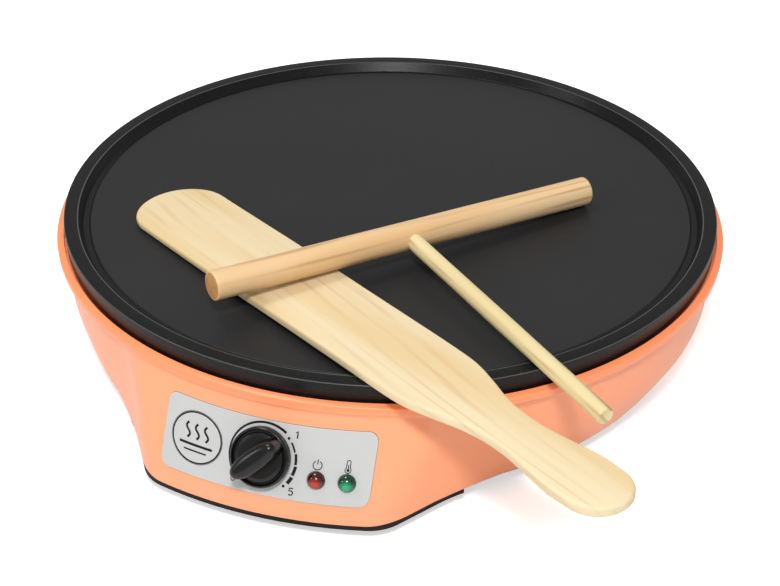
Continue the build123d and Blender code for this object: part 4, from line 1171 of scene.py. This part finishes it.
def dowel(name, length, radius, place, finish, replaced):
    """A round stick along its own X axis, with sanded ends and a slightly uneven turning."""
    sides = 48
    sanding = [(0.0, -0.8), (0.05, -0.35), (0.3, -0.08), (0.8, 0.0)]  # (from the end, off the radius)
    rings = sanding + [(x, 0.0) for x in np.linspace(3, length - 3, 40)]
    rings += [(length - x, trim) for x, trim in reversed(sanding)]
    points = []
    for x, trim in rings:
        for side in range(sides):
            angle = 2 * pi * side / sides
            swell = DOWEL_SWELL * sin(x / DOWEL_SWELL_LENGTH) * cos(angle * 2 + x / DOWEL_SWELL_TWIST)
            reach = radius + trim + swell - DOWEL_SANDING
            points.append((x, reach * cos(angle), reach * sin(angle)))
    faces = grid_faces(len(rings), sides)
    faces.append(tuple(reversed(range(sides))))
    faces.append(tuple(range((len(rings) - 1) * sides, len(rings) * sides)))
    piece = make_piece(name, laid(points, place), faces, finish, "spreader", "wood", [replaced], sharp=60)
    # the start end's cap, the bar's left end, takes the end grain colour darkened further as painted shade
    piece.data.materials.append(END_GRAIN_AND_SHADE)
    piece.data.polygons[len(faces) - 2].material_index = 1


bar_middle = Vector((middle.x, middle.y, middle_height))
bar_place = placed(bar_middle - bar_way * (BAR_LENGTH / 2), bar_way, bar_up)
stick_place = placed(bar_middle, stick_way, bar_up)
dowel("spreader_crossbar", BAR_LENGTH, BAR_RADIUS, bar_place, CROSSBAR_WOOD, "spreader_bar")
dowel("spreader_stick", STICK_LENGTH, STICK_RADIUS, stick_place, STICK_WOOD, "spreader_handle")

# ---- stage -------------------------------------------------------------------------------------
FLOOR_REACH = 9
FLOOR_LIFT = 0.54  # how much brighter the camera sees the paper than it is lit
ROOM_STRENGTH = 0.48
GLOSSY_ROOM_CHANGE = -0.06  # reflections see a greyer room than the light that falls on the object

floor_mesh = bpy.data.meshes.new("floor")
floor_corners = [(FLOOR_REACH * x, FLOOR_REACH * y, 0) for x, y in ((-1, -1), (1, -1), (1, 1), (-1, 1))]
floor_mesh.from_pydata(floor_corners, [], [(0, 1, 2, 3)])
floor = bpy.data.objects.new("floor", floor_mesh)
bpy.context.scene.collection.objects.link(floor)
paper, paper_tree, paper_skin = new_material("pale_paper")
seen = add_node(paper_tree, "ShaderNodeLightPath").outputs["Is Camera Ray"]
connect(
    paper_tree,
    ((0.9, 0.9, 0.9, 1), paper_skin.inputs["Base Color"]),
    (0.9, paper_skin.inputs["Roughness"]),
    (0.0, paper_skin.inputs["Specular IOR Level"]),
    ((1, 1, 1, 1), paper_skin.inputs["Emission Color"]),
    (worked_out(paper_tree, "MULTIPLY", seen, FLOOR_LIFT), paper_skin.inputs["Emission Strength"]),
)
floor_mesh.materials.append(paper)

world = bpy.data.worlds.new("studio")
bpy.context.scene.world = world
world.use_nodes = True
sky = world.node_tree
background = sky.nodes["Background"]
rays = add_node(sky, "ShaderNodeLightPath").outputs
white = worked_out(sky, "MAXIMUM", rays["Is Camera Ray"], rays["Is Transmission Ray"])
room = worked_out(sky, "MULTIPLY_ADD", rays["Is Glossy Ray"], GLOSSY_ROOM_CHANGE, ROOM_STRENGTH)
connect(
    sky,
    ((1, 1, 1, 1), background.inputs["Color"]),
    (worked_out(sky, "MAXIMUM", white, room), background.inputs["Strength"]),
)

# ---- lights ------------------------------------------------------------------------------------
LIGHT_AIM = Vector((0, 0, 0.05))


def soft_light(name, position, size, power):
    """A square soft box that faces the plate."""
    data = bpy.data.lights.new(name, "AREA")
    data.size = size
    data.energy = power
    lamp = bpy.data.objects.new(name, data)
    bpy.context.scene.collection.objects.link(lamp)
    lamp.location = position
    lamp.rotation_euler = (LIGHT_AIM - Vector(position)).to_track_quat("-Z", "Y").to_euler()


soft_light("key", position=(0.31, -1.0, 1.25), size=0.22, power=15.3)
soft_light("left", position=(-1.15, -0.85, 0.75), size=0.24, power=2.2)
soft_light("overhead", position=(-0.45, 0.1, 1.4), size=0.32, power=4.8)

# ---- camera ------------------------------------------------------------------------------------
# It stands off the middle of the plate's rim, faces it and is then turned by three small angles.
CAMERA_DISTANCE = 0.965
CAMERA_RISE = radians(29.95)
CAMERA_AZIMUTH = radians(18.3)
CAMERA_YAW = radians(-0.01)
CAMERA_PITCH = radians(-2.66)
CAMERA_ROLL = radians(-0.59)
FOCAL_PIXELS = 2015
PICTURE_WIDTH_PIXELS = 780
SENSOR_WIDTH = 36.0

camera_data = bpy.data.cameras.new("camera")
camera_data.sensor_width = SENSOR_WIDTH
camera_data.lens = FOCAL_PIXELS / PICTURE_WIDTH_PIXELS * SENSOR_WIDTH
camera_data.clip_start = 0.05
camera = bpy.data.objects.new("camera", camera_data)
bpy.context.scene.collection.objects.link(camera)
spot = Vector((0, -CAMERA_DISTANCE * cos(CAMERA_RISE), CAMERA_DISTANCE * sin(CAMERA_RISE)))
look = -spot.normalized()
right = Vector((1, 0, 0))
upward = right.cross(look)
yaw = Matrix.Rotation(CAMERA_YAW, 3, upward)
look, right = yaw @ look, yaw @ right
pitch = Matrix.Rotation(CAMERA_PITCH, 3, right)
look, upward = pitch @ look, pitch @ upward
roll = Matrix.Rotation(CAMERA_ROLL, 3, look)
right, upward = roll @ right, roll @ upward
facing = Matrix((right, upward, -look)).transposed().to_4x4()
round_the_plate = Matrix.Rotation(CAMERA_AZIMUTH, 4, "Z")
camera.matrix_world = (
    Matrix.Translation((0, 0, RIM_HEIGHT * MM)) @ round_the_plate @ Matrix.Translation(spot) @ facing
)
bpy.context.scene.camera = camera
bpy.context.scene.view_settings.view_transform = "Standard"
